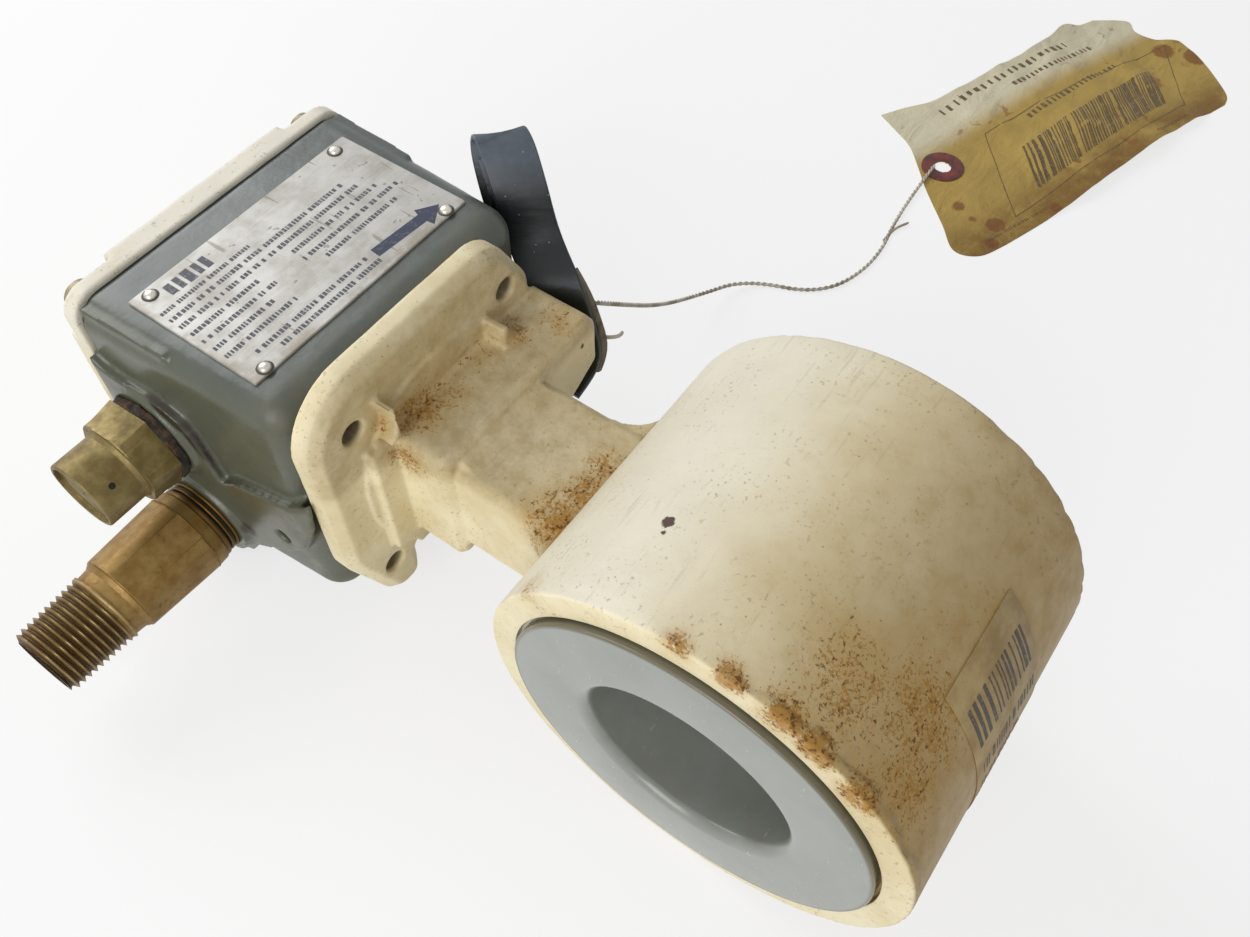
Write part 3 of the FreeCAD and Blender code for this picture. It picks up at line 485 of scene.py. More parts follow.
def box_paint(colour):
    """Grey-green enamel with a slight orange peel, dusty corners, rubbed edges, and painted shade along the
    side pad's grooves.
    """
    f = Finish("box_enamel")
    x, y, z = f.axes()
    cloud = f.noise(20.0, 4.0, 0.6)
    mottle = f.noise(3.0, 5.0, 0.7)
    dark = tuple(c * 0.62 for c in colour)
    pale = tuple(min(1.0, c * 1.45 + 0.02) for c in colour)
    f.tone = f.mix(cloud.rise(0.3, 0.7) * 0.6, colour, dark)
    f.coat(mottle.rise(0.55, 0.8) * 0.35, pale)
    dust_and_sheen = y.rise(128, 104) * f.noise(8.0, 4.0, 0.65).rise(0.3, 0.75)
    f.coat(dust_and_sheen * 0.45, srgb(112, 98, 66))
    olive = x.rise(-34, -44)
    f.coat(olive * 0.7, srgb(84, 84, 62))
    # Painted shade: the grooves round the side pad and its recess are painted near black, where shade falls
    outside = x.rise(-42.0, -44.2)
    upper = abs((y - 147.0) * 0.6 - (z - 17.0) * 0.8).rise(2.0, 0.9) * z.within(12.0, 19.0, 1.0)
    lower = abs((y - 140.6) * 0.941 - (z - 12.2) * 0.339).rise(2.0, 0.9) * z.within(-3.5, 12.5, 1.0)
    recess = (f.from_point((-44.0, 134.0, -25.0)) + mottle * 1.6).rise(4.6, 3.2)
    groove_shade = upper.larger(lower).larger(recess) * outside
    f.coat(groove_shade * 0.85, srgb(38, 28, 10))
    ledge = x.rise(-43.5, -45.5) * y.within(113, 134, 1.0) * z.within(-9, 0, 2.0)
    f.coat(ledge * mottle.rise(0.4, 0.6) * 0.6, srgb(92, 70, 36))
    scratch = f.noise(1.0, 2.0, 0.5, where=f.stretched((0.05, 1.1, 1.1))).rise(0.71, 0.74)
    f.coat(scratch * 0.4, pale)
    peel = f.noise(1.8, 2.0, 0.5)
    normal = f.bump(peel * 0.7 + mottle * 0.3, 0.1)
    rough = cloud * 0.12 + dust_and_sheen * 0.3 + mottle * 0.1 + 0.2
    return f.surface(rough, normal, Specular_IOR_Level=0.5)


def liner_plastic(colour):
    """Smooth translucent-looking lining with faint scuffs, and a grey deposit in the bore that is partly
    painted shade.
    """
    f = Finish("liner_moulding")
    cloud = f.noise(18.0, 3.0, 0.5)
    scuff = f.noise(1.2, 3.0, 0.6, where=f.stretched((0.3, 1.0, 0.25))).rise(0.66, 0.75)
    shade = tuple(c * 0.86 for c in colour)
    f.tone = f.mix(cloud.rise(0.35, 0.7) * 0.7, colour, shade)
    f.coat(scuff * 0.25, srgb(206, 208, 200))
    edge = f.vector("LENGTH", {0: f.vector("MULTIPLY", {0: f.at(), 1: (0, 1, 1)})}, "Value")
    f.coat(edge.rise(LINER_R - 1.2, LINER_R - 0.2) * 0.8, srgb(96, 88, 62))
    # Greyer in and round the bore: partly a deposit, partly painted shade
    film_and_shade = edge.rise(BORE_R + 2.0, BORE_R) * f.noise(12.0, 4.0, 0.6).rise(0.25, 0.7)
    f.coat(film_and_shade * 0.35, srgb(120, 118, 104))
    normal = f.bump(cloud * 0.6 + scuff * 0.2, 0.08)
    return f.surface(scuff * 0.2 + cloud * 0.1 + 0.16, normal, Specular_IOR_Level=0.5,
                     Subsurface_Weight=0.15, Subsurface_Scale=0.004)


def plate_metal():
    """Rolled aluminium plate: fine lengthwise grain, scratches, smudges and dark pits."""
    f = Finish("nameplate_metal")
    x, y, _ = f.axes()
    grain = f.noise(1.0, 3.0, 0.6, where=f.stretched((0.06, 2.2, 1.0)))
    smudge = f.noise(9.0, 4.0, 0.65)
    nick = f.noise(1.0, 2.0, 0.5, where=f.stretched((0.35, 0.35, 1.0), (3, 7, 0))).rise(0.69, 0.72)
    line = f.noise(1.0, 1.0, 0.4, where=f.stretched((0.9, 0.06, 1.0))).rise(0.72, 0.75)
    f.tone = f.mix(smudge.rise(0.3, 0.75) * 0.6, srgb(170, 169, 165), srgb(126, 120, 107))
    f.coat(grain.rise(0.3, 0.8) * 0.25, srgb(188, 187, 185))
    f.coat(nick.larger(line) * 0.55, srgb(104, 96, 82))
    edge = (x.rise(-31, -35.5).larger(y.rise(122, 118.5))) * smudge.rise(0.35, 0.6)
    f.coat(edge * 0.4, srgb(120, 104, 78))
    normal = f.bump(grain * 0.5 + smudge * 0.4 - nick * 0.6, 0.06)
    return f.surface(smudge * 0.25 + 0.34, normal, Metallic=0.45)


def fitting_metal(name, colour, tarnish, dark_marks=0.6, roots=None):
    """Plated fitting gone dull; `roots` is the (y, z) axis of a thread whose roots hold dark grease."""
    f = Finish(name)
    cloud = f.noise(6.0, 5.0, 0.65)
    spot = f.noise(1.5, 4.0, 0.7)
    f.tone = f.mix(cloud.rise(0.25, 0.75), colour, tarnish)
    f.coat(spot.rise(0.6, 0.72) * dark_marks, srgb(70, 42, 18))
    if roots:
        x, y, z = f.axes()
        radius = ((y - roots[0]) ** 2.0 + (z - roots[1]) ** 2.0) ** 0.5
        depth = radius + (x - THREAD_START) * -THREAD_TAPER
        threaded = x.rise(-82.3, -82.9)
        f.coat(depth.rise(10.2, 10.7) * threaded * 0.65, srgb(158, 146, 120))
        f.coat(depth.rise(10.1, 9.6) * threaded * 0.8, srgb(44, 28, 14))
    streak = f.noise(1.0, 3.0, 0.6, where=f.stretched((0.15, 1.6, 1.6)))
    normal = f.bump(streak * 0.4 + spot * 0.5, 0.07)
    return f.surface(cloud * 0.2 + spot * 0.2 + 0.3, normal, Metallic=(spot.rise(0.7, 0.5) * 0.3 + 0.3))


def plain_metal(name, colour, rough=0.35, grain_size=1.2):
    f = Finish(name)
    grain = f.noise(grain_size, 3.0, 0.6)
    cloud = f.noise(grain_size * 9.0, 3.0, 0.6)
    f.tone = f.mix(cloud.rise(0.35, 0.7) * 0.5, colour, tuple(c * 0.6 for c in colour))
    return f.surface(grain * 0.25 + rough, f.bump(grain, 0.03), Metallic=0.8)


def dull_plastic(name, colour, rough=0.5, grain_size=0.8, depth=0.05):
    f = Finish(name)
    grain = f.noise(grain_size, 3.0, 0.6)
    cloud = f.noise(grain_size * 12.0, 3.0, 0.6)
    f.tone = f.mix(cloud.rise(0.3, 0.75), colour, tuple(c * 0.6 + 0.01 for c in colour))
    return f.surface(grain * 0.2 + rough, f.bump(grain, depth))


def wound_wire():
    f = Finish("coil_winding")
    turns = f.node("ShaderNodeTexWave", {"Vector": f.at(), "Scale": 0.6, "Distortion": 0.2},
                   bands_direction="X")
    f.tone = f.mix(turns, srgb(90, 40, 20), srgb(178, 96, 52))
    return f.surface(turns * 0.2 + 0.3, f.bump(turns, 0.2), Metallic=0.7)


def strap_rubber(colour):
    """Dark blue-black rubber strap with painted sheen on its shoulders, light flecks and shallow creases."""
    f = Finish("strap_rubber")
    z = f.axes()[2]
    cloud = f.noise(9.0, 4.0, 0.6)
    dust_and_sheen = f.noise(2.2, 5.0, 0.7)
    f.tone = f.mix(cloud.rise(0.35, 0.7) * 0.6, colour, tuple(c * 0.45 for c in colour))
    # Painted sheen: the strap's upper folds are painted a mottled pale blue-grey
    f.coat((dust_and_sheen * 0.5 + 0.4) * z.rise(32, 42) * 0.75, srgb(116, 126, 138))
    f.coat(z.rise(24, 10) * cloud.rise(0.3, 0.6) * 0.35, srgb(60, 62, 46))
    fleck = f.cells(3.2).rise(0.08, 0.03)
    f.coat(fleck * 0.8, srgb(170, 165, 140))
    crease = f.noise(1.0, 2.0, 0.5, where=f.stretched((0.05, 0.05, 0.35)))
    normal = f.bump(crease * 0.8 + dust_and_sheen * 0.2, 0.25)
    return f.surface(dust_and_sheen * 0.3 + 0.3, normal, Specular_IOR_Level=0.4)


def cloth_tape():
    """Grey cloth tape: fine cross weave under grime."""
    f = Finish("cloth_tape")
    weave = f.node("ShaderNodeTexBrick", {"Vector": f.at(), "Scale": 1.2, "Mortar Size": 0.12}, "Fac")
    cloud = f.noise(4.0, 5.0, 0.65)
    f.tone = f.mix(cloud.rise(0.3, 0.7), srgb(132, 122, 98), srgb(66, 60, 46))
    f.coat(f.noise(1.0, 3.0, 0.6).rise(0.5, 0.75) * 0.5, srgb(170, 160, 136))
    normal = f.bump(weave * 0.5 + cloud * 0.9, 0.3)
    return f.surface(cloud * 0.2 + 0.65, normal)


def cotton():
    """Undyed cotton twine with fuzz and grime."""
    f = Finish("cotton_twine")
    fuzz = f.noise(0.5, 4.0, 0.7)
    soil = f.noise(7.0, 3.0, 0.6)
    f.tone = f.mix(soil.rise(0.35, 0.7), srgb(214, 208, 196), srgb(164, 154, 132))
    f.coat(fuzz.rise(0.55, 0.8) * 0.35, srgb(104, 92, 70))
    return f.surface(fuzz * 0.1 + 0.85, f.bump(fuzz, 0.2))


# Brown spots of the card as (place, reach).
CARD_SPOTS = [((334, 17, -50), 4.6), ((338, 5, -50), 5.0), ((205, 44, -52), 2.4), ((204, 29, -52), 3.6),
              ((195, 26, -52), 2.6), ((249, 18, -50), 1.8), ((224, 15, -52), 2.4), ((202, 37, -52), 1.4)]


def tag_card(colour):
    """Manila card, yellowed and foxed, darker brown towards its near edge, painted pale along its bent-up far
    strip, softly creased.
    """
    f = Finish("manila_card")
    x, y, _ = f.axes()
    fibre = f.noise(0.9, 4.0, 0.7)
    cloud = f.noise(16.0, 4.0, 0.6)
    across = y + (x - 220.0) * 0.33
    f.tone = f.mix(cloud.rise(0.35, 0.7) * 0.5, colour, tuple(c * 0.72 for c in colour))
    # Darker brown towards the card's near edge
    f.coat(across.rise(36, 20) * cloud.rise(0.25, 0.6) * 0.8, srgb(110, 74, 20))
    # Painted light: the bent-up far strip is painted pale
    f.coat(across.rise(62, 74) * 0.85, srgb(222, 216, 190))
    blots = f.noise(7.0, 3.0, 0.55, 0.6).rise(0.6, 0.66) * f.noise(30.0, 2.0).rise(0.42, 0.58)
    f.coat(blots * 0.6, srgb(128, 78, 30))
    for point, reach in CARD_SPOTS:
        near = (f.from_point(point) + fibre * 3.0).rise(reach + 2.0, reach + 0.8)
        f.coat(near * 0.75, srgb(112, 60, 22))
    wrinkle = f.noise(9.0, 3.0, 0.5, 1.0, where=f.stretched((0.45, 1.0, 1.0)))
    normal = f.bump(fibre * 0.2 + cloud * 0.5 + wrinkle, 1.1)
    return f.surface(fibre * 0.2 + 0.62, normal)


def card_washer():
    f = Finish("card_washer")
    fibre = f.noise(0.8, 4.0, 0.7)
    f.tone = f.mix(f.noise(4.0, 4.0, 0.6).rise(0.35, 0.65), srgb(112, 38, 26), srgb(58, 16, 10))
    return f.surface(fibre * 0.2 + 0.4, f.bump(fibre, 0.08))


def label_paper():
    f = Finish("label_paper")
    fibre = f.noise(0.7, 4.0, 0.7)
    cloud = f.noise(8.0, 4.0, 0.6)
    f.tone = f.mix(cloud.rise(0.3, 0.7), srgb(176, 152, 104), srgb(142, 114, 62))
    f.coat(fibre.rise(0.55, 0.8) * 0.4, srgb(120, 92, 54))
    return f.surface(fibre * 0.2 + 0.45, f.bump(fibre, 0.05))


def ink(name, colour, worn=0.5):
    """Printed mark worn through in places: its gaps take the ground's colour."""
    f = Finish(name)
    wear = f.noise(1.2, 4.0, 0.7)
    f.tone = f.mix(wear.rise(0.5, 0.72) * worn, colour, tuple(c * 0.5 + 0.3 for c in colour))
    return f.surface(wear * 0.2 + 0.5, f.bump(wear, 0.02))


def floor_white():
    """Pale floor that shows nearly white to the camera and keeps a soft shadow."""
    f = Finish("floor_white")
    diffuse = f.node("ShaderNodeBsdfDiffuse", {"Color": (0.86, 0.86, 0.86)})
    return f.plain_for_rays(f.node("ShaderNodeEmission", {"Color": (1, 1, 1)}), 0.72, diffuse)


# ---- Settings -------------------------------------------------------------------

def paint(name, note, *colour):
    return FloatVectorProperty(name=name, description=note, subtype="COLOR", default=srgb(*colour))


class FlowMeterSettings(PropertyGroup):
    """Colours and sizes that a user would change."""

    enamel: paint("Enamel", "Clean cream enamel of body, neck and cover", 236, 225, 190)
    enamel_stained: paint("Stained Enamel", "Enamel where it has yellowed", 198, 174, 114)
    box_enamel: paint("Box Enamel", "Grey-green enamel of the junction box", 82, 90, 86)
    lining: paint("Lining", "Plastic that lines the bore", 147, 151, 144)
    strap: paint("Strap", "Rubber strap", 17, 22, 28)
    card: paint("Tag Card", "Manila card of the tag", 182, 153, 80)
    body_skin: FloatProperty(name="Casting Voxel", default=0.55, min=0.3, max=2.0,
                             description="Fineness of the castings' skin, in millimetres")
    thread_pitch: FloatProperty(name="Thread Pitch", default=25.4 / 14, min=0.5, max=4.0,
                                description="Half-inch taper thread, in millimetres")
    around: IntProperty(name="Turned Segments", default=224, min=32, max=512,
                        description="Segments round a turned piece")
    lamp_level: FloatProperty(name="Lamp Level", default=1.0, min=0.0,
                              description="Strength of the studio lamps")


class Step:
    """What the flow meter's operators share: each one builds its own pieces."""

    def execute(self, context):
        self.build(context.scene.flow_meter)
        return {"FINISHED"}


# ---- Body and lining ------------------------------------------------------------

class FLOWMETER_OT_body(Step, Operator):
    """Turned sleeve with rounded rims, recessed for the lining's flared faces"""
    bl_idname = "flowmeter.body"
    bl_label = "Meter Body"

    def build(self, s):
        h, groove = BODY_HALF, LINER_R + GROOVE_GAP
        rim_rows = [(-h + 1.5 + 0.5 * k, BODY_R, 0) for k in range(12)]
        outline = rounded([(-h, groove, 0.2), (-h, BODY_R, 1.1), *rim_rows, (-12, BODY_R, 0), (12, BODY_R, 0),
                           (h - 5, BODY_R, 0), (h, BODY_R, 1.1), (h, groove, 0.2), (TUBE_END, groove, 0),
                           (TUBE_END, TUBE_R, 0), (-TUBE_END, TUBE_R, 0), (-TUBE_END, groove, 0)], 6)

        def worn(x, r, a):
            rim = max(0.0, 1.0 - abs(r - BODY_R) / 1.6) * max(0.0, 1.0 - abs(abs(x) - h) / 4.0)
            n = noise.noise(Vector((x * 0.2, math.cos(a) * 16, math.sin(a) * 16)))
            lower = max(0.0, -math.cos(a)) * max(0.0, math.sin(a)) * 2.0
            coarse = noise.noise(Vector((1.0, math.cos(a) * 7, math.sin(a) * 7)))
            reach = 2.6 + 3.0 * coarse + 1.5 * noise.noise(Vector((2.0, math.cos(a) * 24, math.sin(a) * 24)))
            flake = max(0.0, min(1.0, (reach - (x + h)) / 0.5)) if r > BODY_R - 0.8 else 0.0
            flake *= min(1.0, lower * 1.6) * (0.55 + 0.5 * n)
            return r - rim * max(0.0, n + 0.1) * (0.6 + 0.7 * lower) + flake + 0.05 * n
        lathe("body_sleeve", outline, body_paint(s.enamel, s.enamel_stained), around=s.around, shape=worn,
              slot="body_paint", replaces=("meter_body",), sharp=50)


class FLOWMETER_OT_lining(Step, Operator):
    """Moulded lining with a soft lip at each end of the bore"""
    bl_idname = "flowmeter.lining"
    bl_label = "Lining"

    def build(self, s):
        e, flange = LINER_END, LINER_END - FLANGE
        outline = rounded([(-e, BORE_R, LIP), (-e, LINER_R, 0.5), (-flange, LINER_R, 0.1),
                           (-flange, LINER_OUTSIDE, 0), (flange, LINER_OUTSIDE, 0), (flange, LINER_R, 0.1),
                           (e, LINER_R, 0.5), (e, BORE_R, LIP), (0, BORE_R, 0)], 8)
        lathe("bore_lining", outline, liner_plastic(s.lining), around=s.around, slot="liner_plastic",
              replaces=("liner",), sharp=50)


class FLOWMETER_OT_inside(Step, Operator):
    """Finishes for the pieces that are sealed inside"""
    bl_idname = "flowmeter.inside"
    bl_label = "Inner Pieces"

    def build(self, s):
        steel = plain_metal("inner_steel", srgb(170, 170, 168))
        iron = plain_metal("inner_iron", srgb(84, 84, 86), 0.5)
        wire = wound_wire()
        rubber = dull_plastic("gasket_rubber", srgb(24, 24, 24), 0.6)
        plastic = dull_plastic("inner_plastic", srgb(52, 50, 48))
        for name, node in NODES.items():
            if name.startswith(("electrode_seal", "terminal_block", "lead_sleeve")):
                finish = plastic
            elif name.startswith(("pole_core", "return_yoke")):
                finish = iron
            elif name.startswith("coil"):
                finish = wire
            elif name.endswith(("gasket", "seal")):
                finish = rubber
            else:
                finish = steel
            node.data.materials.clear()
            node.data.materials.append(finish)


# ---- Castings -------------------------------------------------------------------

class FLOWMETER_OT_pedestal(Step, Operator):
    """Cast neck with its plate, land, lugs and side boss"""
    bl_idname = "flowmeter.pedestal"
    bl_label = "Pedestal Casting"

    def build(self, s):
        mesh = remeshed("neck_casting", ["pedestal"], s.body_skin, 1, wobble=0.1)
        add_piece("neck_casting", mesh, pedestal_paint(s.enamel, s.enamel_stained), slot="body_paint",
                  replaces=("pedestal",))


class FLOWMETER_OT_junction_box(Step, Operator):
    """Cast box with its conduit pad, and the cover with its raised panel"""
    bl_idname = "flowmeter.junction_box"
    bl_label = "Junction Box"

    def build(self, s):
        low, high = lowest("junction_box"), highest("junction_box")
        lid = ((-40.5, high.y - 3.0, low.z + 4.0), (40.5, high.y - 0.05, high.z - 4.0))
        mesh = remeshed("box_casting", ["junction_box"], s.body_skin * 1.3, 1, fillers=[lid], wobble=0.08)
        add_piece("box_casting", mesh, box_paint(s.box_enamel), slot="box_paint", replaces=("junction_box",))
        mesh = remeshed("cover_casting", ["cover"], s.body_skin * 1.1, 1, wobble=0.25, wobble_size=9.0)
        add_piece("cover_casting", mesh, cover_paint(s.enamel, s.enamel_stained), slot="box_paint",
                  replaces=("cover",))


# ---- Nameplate ------------------------------------------------------------------

# Rows of the plate's faded print as (left, right, height, y): plain dashes, no letters.
PLATE_ROWS = [(-28, -15, 4.6, 154.8), (-34, -6, 1.3, 150.3), (-34, 22, 1.5, 147.2), (-34, -8, 1.5, 143.9),
              (-6, 24, 1.5, 143.9), (-34, -14, 1.5, 140.2), (-2, 27, 1.5, 140.2), (-34, -11, 1.5, 136.5),
              (-2, 30, 1.5, 136.5), (-34, -16, 1.5, 132.8), (2, 26, 1.5, 132.8), (-34, -12, 1.5, 129.1),
              (-29, 7, 1.5, 124.6), (-24, 8, 1.5, 121.6)]
ARROW = [(9.0, 122.5), (24.6, 121.2), (24.9, 119.0), (30.8, 122.6), (25.6, 126.2), (24.9, 124.4),
         (9.3, 125.6)]
RIVET_DOME = [(0.0, 1.55), (0.4, 1.5), (0.8, 1.2), (1.05, 0.7), (1.1, 0.2)]
# Thin dark ring round each rivet's base, as (height, radius)
RIVET_DARK_RING = [(0.0, 2.1), (0.06, 1.9)]


class FLOWMETER_OT_nameplate(Step, Operator):
    """Thin plate with domed rivets, a flow arrow and rows of plain dashes"""
    bl_idname = "flowmeter.nameplate"
    bl_label = "Nameplate"

    def build(self, s):
        low, high = lowest("nameplate"), highest("nameplate")
        corner, bevel, middle = 0.5, 0.25, (low.y + high.y) / 2
        outline = rounded([(low.x, low.y, corner), (high.x, low.y, corner), (high.x, high.y, corner),
                           (low.x, high.y, corner)], 4)
        points = []
        for z, inset in ((low.z, 0.0), (high.z - bevel, 0.0), (high.z, bevel)):
            for u, v in outline:
                points.append((u - math.copysign(inset, u), v - math.copysign(inset, v - middle), z))
        faces = grid_faces(3, len(outline), close_columns=True, capped=True)
        add_piece("data_plate", mesh_from("data_plate", points, faces), plate_metal(), slot="plate_metal",
                  replaces=("nameplate",), sharp=30)
        draw = random.Random(7)
        marks = []
        top = high.z + 0.01
        for left, right, tall, y in PLATE_ROWS:
            x = left
            while x < right:
                wide = tall * draw.uniform(0.32, 0.6)
                half = tall / 2 * draw.uniform(0.8, 1)
                marks.append(((x + wide / 2, y, top), (wide / 2, 0, 0), (0, half, 0), 0.03))
                x += wide + tall * draw.choice((0.2, 0.2, 0.2, 0.28, 0.8))
        bars("plate_marks", marks, ink("plate_ink", srgb(70, 72, 80), 0.7), slot="plate_metal")
        blue = ink("arrow_ink", srgb(34, 42, 66), 0.3)
        slab("flow_arrow", [(x, y, top) for x, y in ARROW], (0, 0, 0.04), blue, slot="plate_metal", sharp=20)
        metal = plain_metal("rivet_metal", srgb(204, 200, 190), 0.25)
        dark_marks = ink("rivet_dark_ring", srgb(52, 46, 36), 0.3)
        for i in range(1, 5):
            node = "nameplate_rivet_%d" % i
            centre = (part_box(node)[0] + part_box(node)[1]) / 2 / MM
            self.rivet("plate_rivet_%d" % i, centre, high.z + 0.06, RIVET_DOME, metal, node)
            # A thin dark ring round the base of each rivet
            self.rivet("rivet_dirt_%d" % i, centre, high.z, RIVET_DARK_RING, dark_marks)

    def rivet(self, name, centre, z, dome, metal, *nodes):
        angles = circle(28)
        points = [(centre.x + r * math.cos(a), centre.y + r * math.sin(a), z + h)
                  for h, r in dome for a in angles]
        faces = grid_faces(len(dome), len(angles), close_columns=True, capped=True)
        add_piece(name, mesh_from(name, points, faces), metal, slot="rivet_metal", replaces=nodes, sharp=60)


# ---- Fittings -------------------------------------------------------------------

def hex_radius(flats, turn, a):
    """Radius at angle `a` of a hexagon that has a corner at the angle `turn`."""
    step = math.pi / 3
    from_corner = (a - math.radians(turn) + step / 2) % step - step / 2
    return flats / 2 / math.cos(step / 2 - abs(from_corner))


def axis_of(node):
    """Middle (y, z) of a turned node."""
    low, high = lowest(node), highest(node)
    return (low.y + high.y) / 2, (low.z + high.z) / 2


class FLOWMETER_OT_plug(Step, Operator):
    """Hex-headed conduit plug with a hollow end, its small cross hole drawn as a dark disc of painted shade
    """
    bl_idname = "flowmeter.plug"
    bl_label = "Conduit Plug"

    def build(self, s):
        centre = axis_of("conduit_plug")
        end = lowest("conduit_plug").x
        hex_in = lowest("cap_seal").x
        hex_out = hex_in - 8.6
        outline = rounded([(hex_in + 8, 9.4, 0), (hex_in, 9.4, 0), (hex_in, HEX_CORNER, 0.2),
                           (hex_out, HEX_CORNER, 0.3), (hex_out, 10.4, 0.3), (hex_out - 1.2, 9.8, 0.3),
                           (end, 9.8, 0.7), (end, 8.7, 0.2), (end + 1.3, 8.5, 0.3), (end + 1.0, 0.4, 0),
                           (hex_in + 8, 0.4, 0)], 4)

        def shape(x, r, a):
            if r < 11.0 or x > hex_in + 0.1:
                return r
            flat = hex_radius(HEX_FLATS, PLUG_TURN, a)
            chamfer = 13.5 - max(0.0, 2.2 - (x - hex_out)) * 0.75
            return min(flat, chamfer, 13.3)
        metal = fitting_metal("plug_metal", srgb(136, 120, 76), srgb(92, 76, 34), 0.35)
        lathe("entry_plug", outline, metal, centre=centre, around=360, shape=shape, slot="fitting_steel",
              replaces=("conduit_plug",), sharp=32)
        # Painted shade: the cross hole is a dark disc set into the barrel, not a hole
        dark = dull_plastic("cross_hole_shade", srgb(18, 15, 12), 0.8)
        hole_x, a = end + 5.2, math.radians(146)
        out = Vector((0, math.cos(a), math.sin(a)))
        side = Vector((0, -math.sin(a), math.cos(a)))
        at = Vector((hole_x, *centre)) + out * 9.86
        along = Vector((1, 0, 0))
        rim = [at + along * (0.85 * math.cos(t)) + side * (0.85 * math.sin(t)) for t in circle(20)]
        slab("plug_cross_hole_shade", rim, -out * 0.5, dark, slot="fitting_steel", sharp=30)


class FLOWMETER_OT_nipple(Step, Operator):
    """Conduit nipple with a long hexagon and a right-handed taper thread"""
    bl_idname = "flowmeter.nipple"
    bl_label = "Conduit Nipple"

    def build(self, s):
        centre = axis_of("nipple_seal")
        inner, end = highest("conduit_nipple").x, lowest("conduit_nipple").x
        start = lowest("nipple_seal").x
        hex_in, hex_out = start - 3.4, NIPPLE_HEX_END
        metal = fitting_metal("nipple_metal", srgb(146, 120, 70), srgb(116, 84, 28), 0.55, centre)
        outline = rounded([(inner, 9.3, 0), (start + 0.1, 9.3, 0), (start, 12.0, 0.4), (hex_in, 12.2, 0.3),
                           (hex_in - 0.2, HEX_CORNER, 0.2), (hex_out, HEX_CORNER, 0.3),
                           (hex_out, 11.2, 0.3), (hex_out - 1.4, 10.3, 0.3), (THREAD_START, 10.0, 0.3),
                           (THREAD_START, THREAD_BORE, 0), (inner, THREAD_BORE, 0)], 4)

        def shape(x, r, a):
            if r < 12.6:
                return r
            flat = hex_radius(HEX_FLATS, NIPPLE_TURN, a)
            cut = 13.3 - max(0.0, 2.6 - (x - hex_out)) * 0.8
            cut = min(cut, 13.3 - max(0.0, 1.6 - (hex_in - x)) * 0.8)
            return min(flat, cut)
        lathe("entry_nipple", outline, metal, centre=centre, around=360, shape=shape, slot="fitting_steel",
              replaces=("conduit_nipple",), sharp=32)
        self.thread("nipple_thread", metal, centre, THREAD_START + 0.4, end, s.thread_pitch)
        brass = plain_metal("ring_brass", srgb(112, 82, 34), 0.4)
        black = dull_plastic("ring_rubber", srgb(16, 15, 13), 0.5)
        rings = [(0.0, 0.9, 11.4, brass), (0.9, 1.7, 10.7, black), (1.7, 2.5, 11.3, brass),
                 (2.5, 3.2, 10.5, black), (3.2, 4.6, 11.6, brass)]
        base = highest("nipple_seal").x
        for i, (a, b, r, finish) in enumerate(rings):
            outer, inner = base - b, base - a
            outline = rounded([(inner, 9.2, 0), (inner, r, 0.3), (outer, r, 0.3), (outer, 9.2, 0)], 3)
            lathe("entry_ring_%d" % (i + 1), outline, finish, centre=centre, around=96, slot="black_rubber",
                  replaces=("nipple_seal",) if i == 0 else (), sharp=40)

    def thread(self, name, metal, centre, start, end, pitch):
        around, per_turn = 72, 10
        length = start - end
        rows = int(length / pitch * per_turn)
        points = []
        for i in range(rows + 1):
            x = start - length * i / rows
            taper = THREAD_R - (start - x) * THREAD_TAPER
            run_in = min(1.0, (start - x) / pitch)
            lead = max(0.0, 1.0 - (x - end) / 1.4)
            for k, a in enumerate(circle(around)):
                phase = ((start - x) / pitch + k / around) % 1.0
                depth = min(1.0, abs(phase - 0.5) * 2.5) * THREAD_DEPTH
                radius = taper - depth * run_in - lead * 0.9
                points.append((x, centre[0] + radius * math.cos(a), centre[1] + radius * math.sin(a)))
        points += ring(end, centre, THREAD_BORE, around) + ring(start, centre, THREAD_BORE, around)
        faces = grid_faces(rows + 3, around, close_rows=True, close_columns=True)
        add_piece(name, mesh_from(name, points, faces), metal, slot="fitting_steel", sharp=50)


class FLOWMETER_OT_seals(Step, Operator):
    """Crumbling seal under the plug"""
    bl_idname = "flowmeter.seals"
    bl_label = "Seals"

    def build(self, s):
        f = Finish("crumbling_seal")
        grit = f.noise(1.4, 5.0, 0.7)
        f.tone = f.mix(grit.rise(0.45, 0.62), srgb(20, 17, 13), srgb(86, 56, 26))
        finish = f.surface(grit * 0.3 + 0.6, f.bump(grit, 0.4))
        inner, outer = highest("cap_seal").x, lowest("cap_seal").x
        outline = rounded([(inner, 9.6, 0), (inner, 12.4, 0.5), (outer, 12.2, 0.6), (outer, 9.6, 0)], 4)

        def ragged(x, r, a):
            if r < 10.5:
                return r
            return r + 0.9 * noise.noise(Vector((x * 0.4, math.cos(a) * 5, math.sin(a) * 5)))
        lathe("plug_seal", outline, finish, centre=axis_of("cap_seal"), around=120, shape=ragged,
              slot="black_rubber", replaces=("cap_seal",), sharp=60)


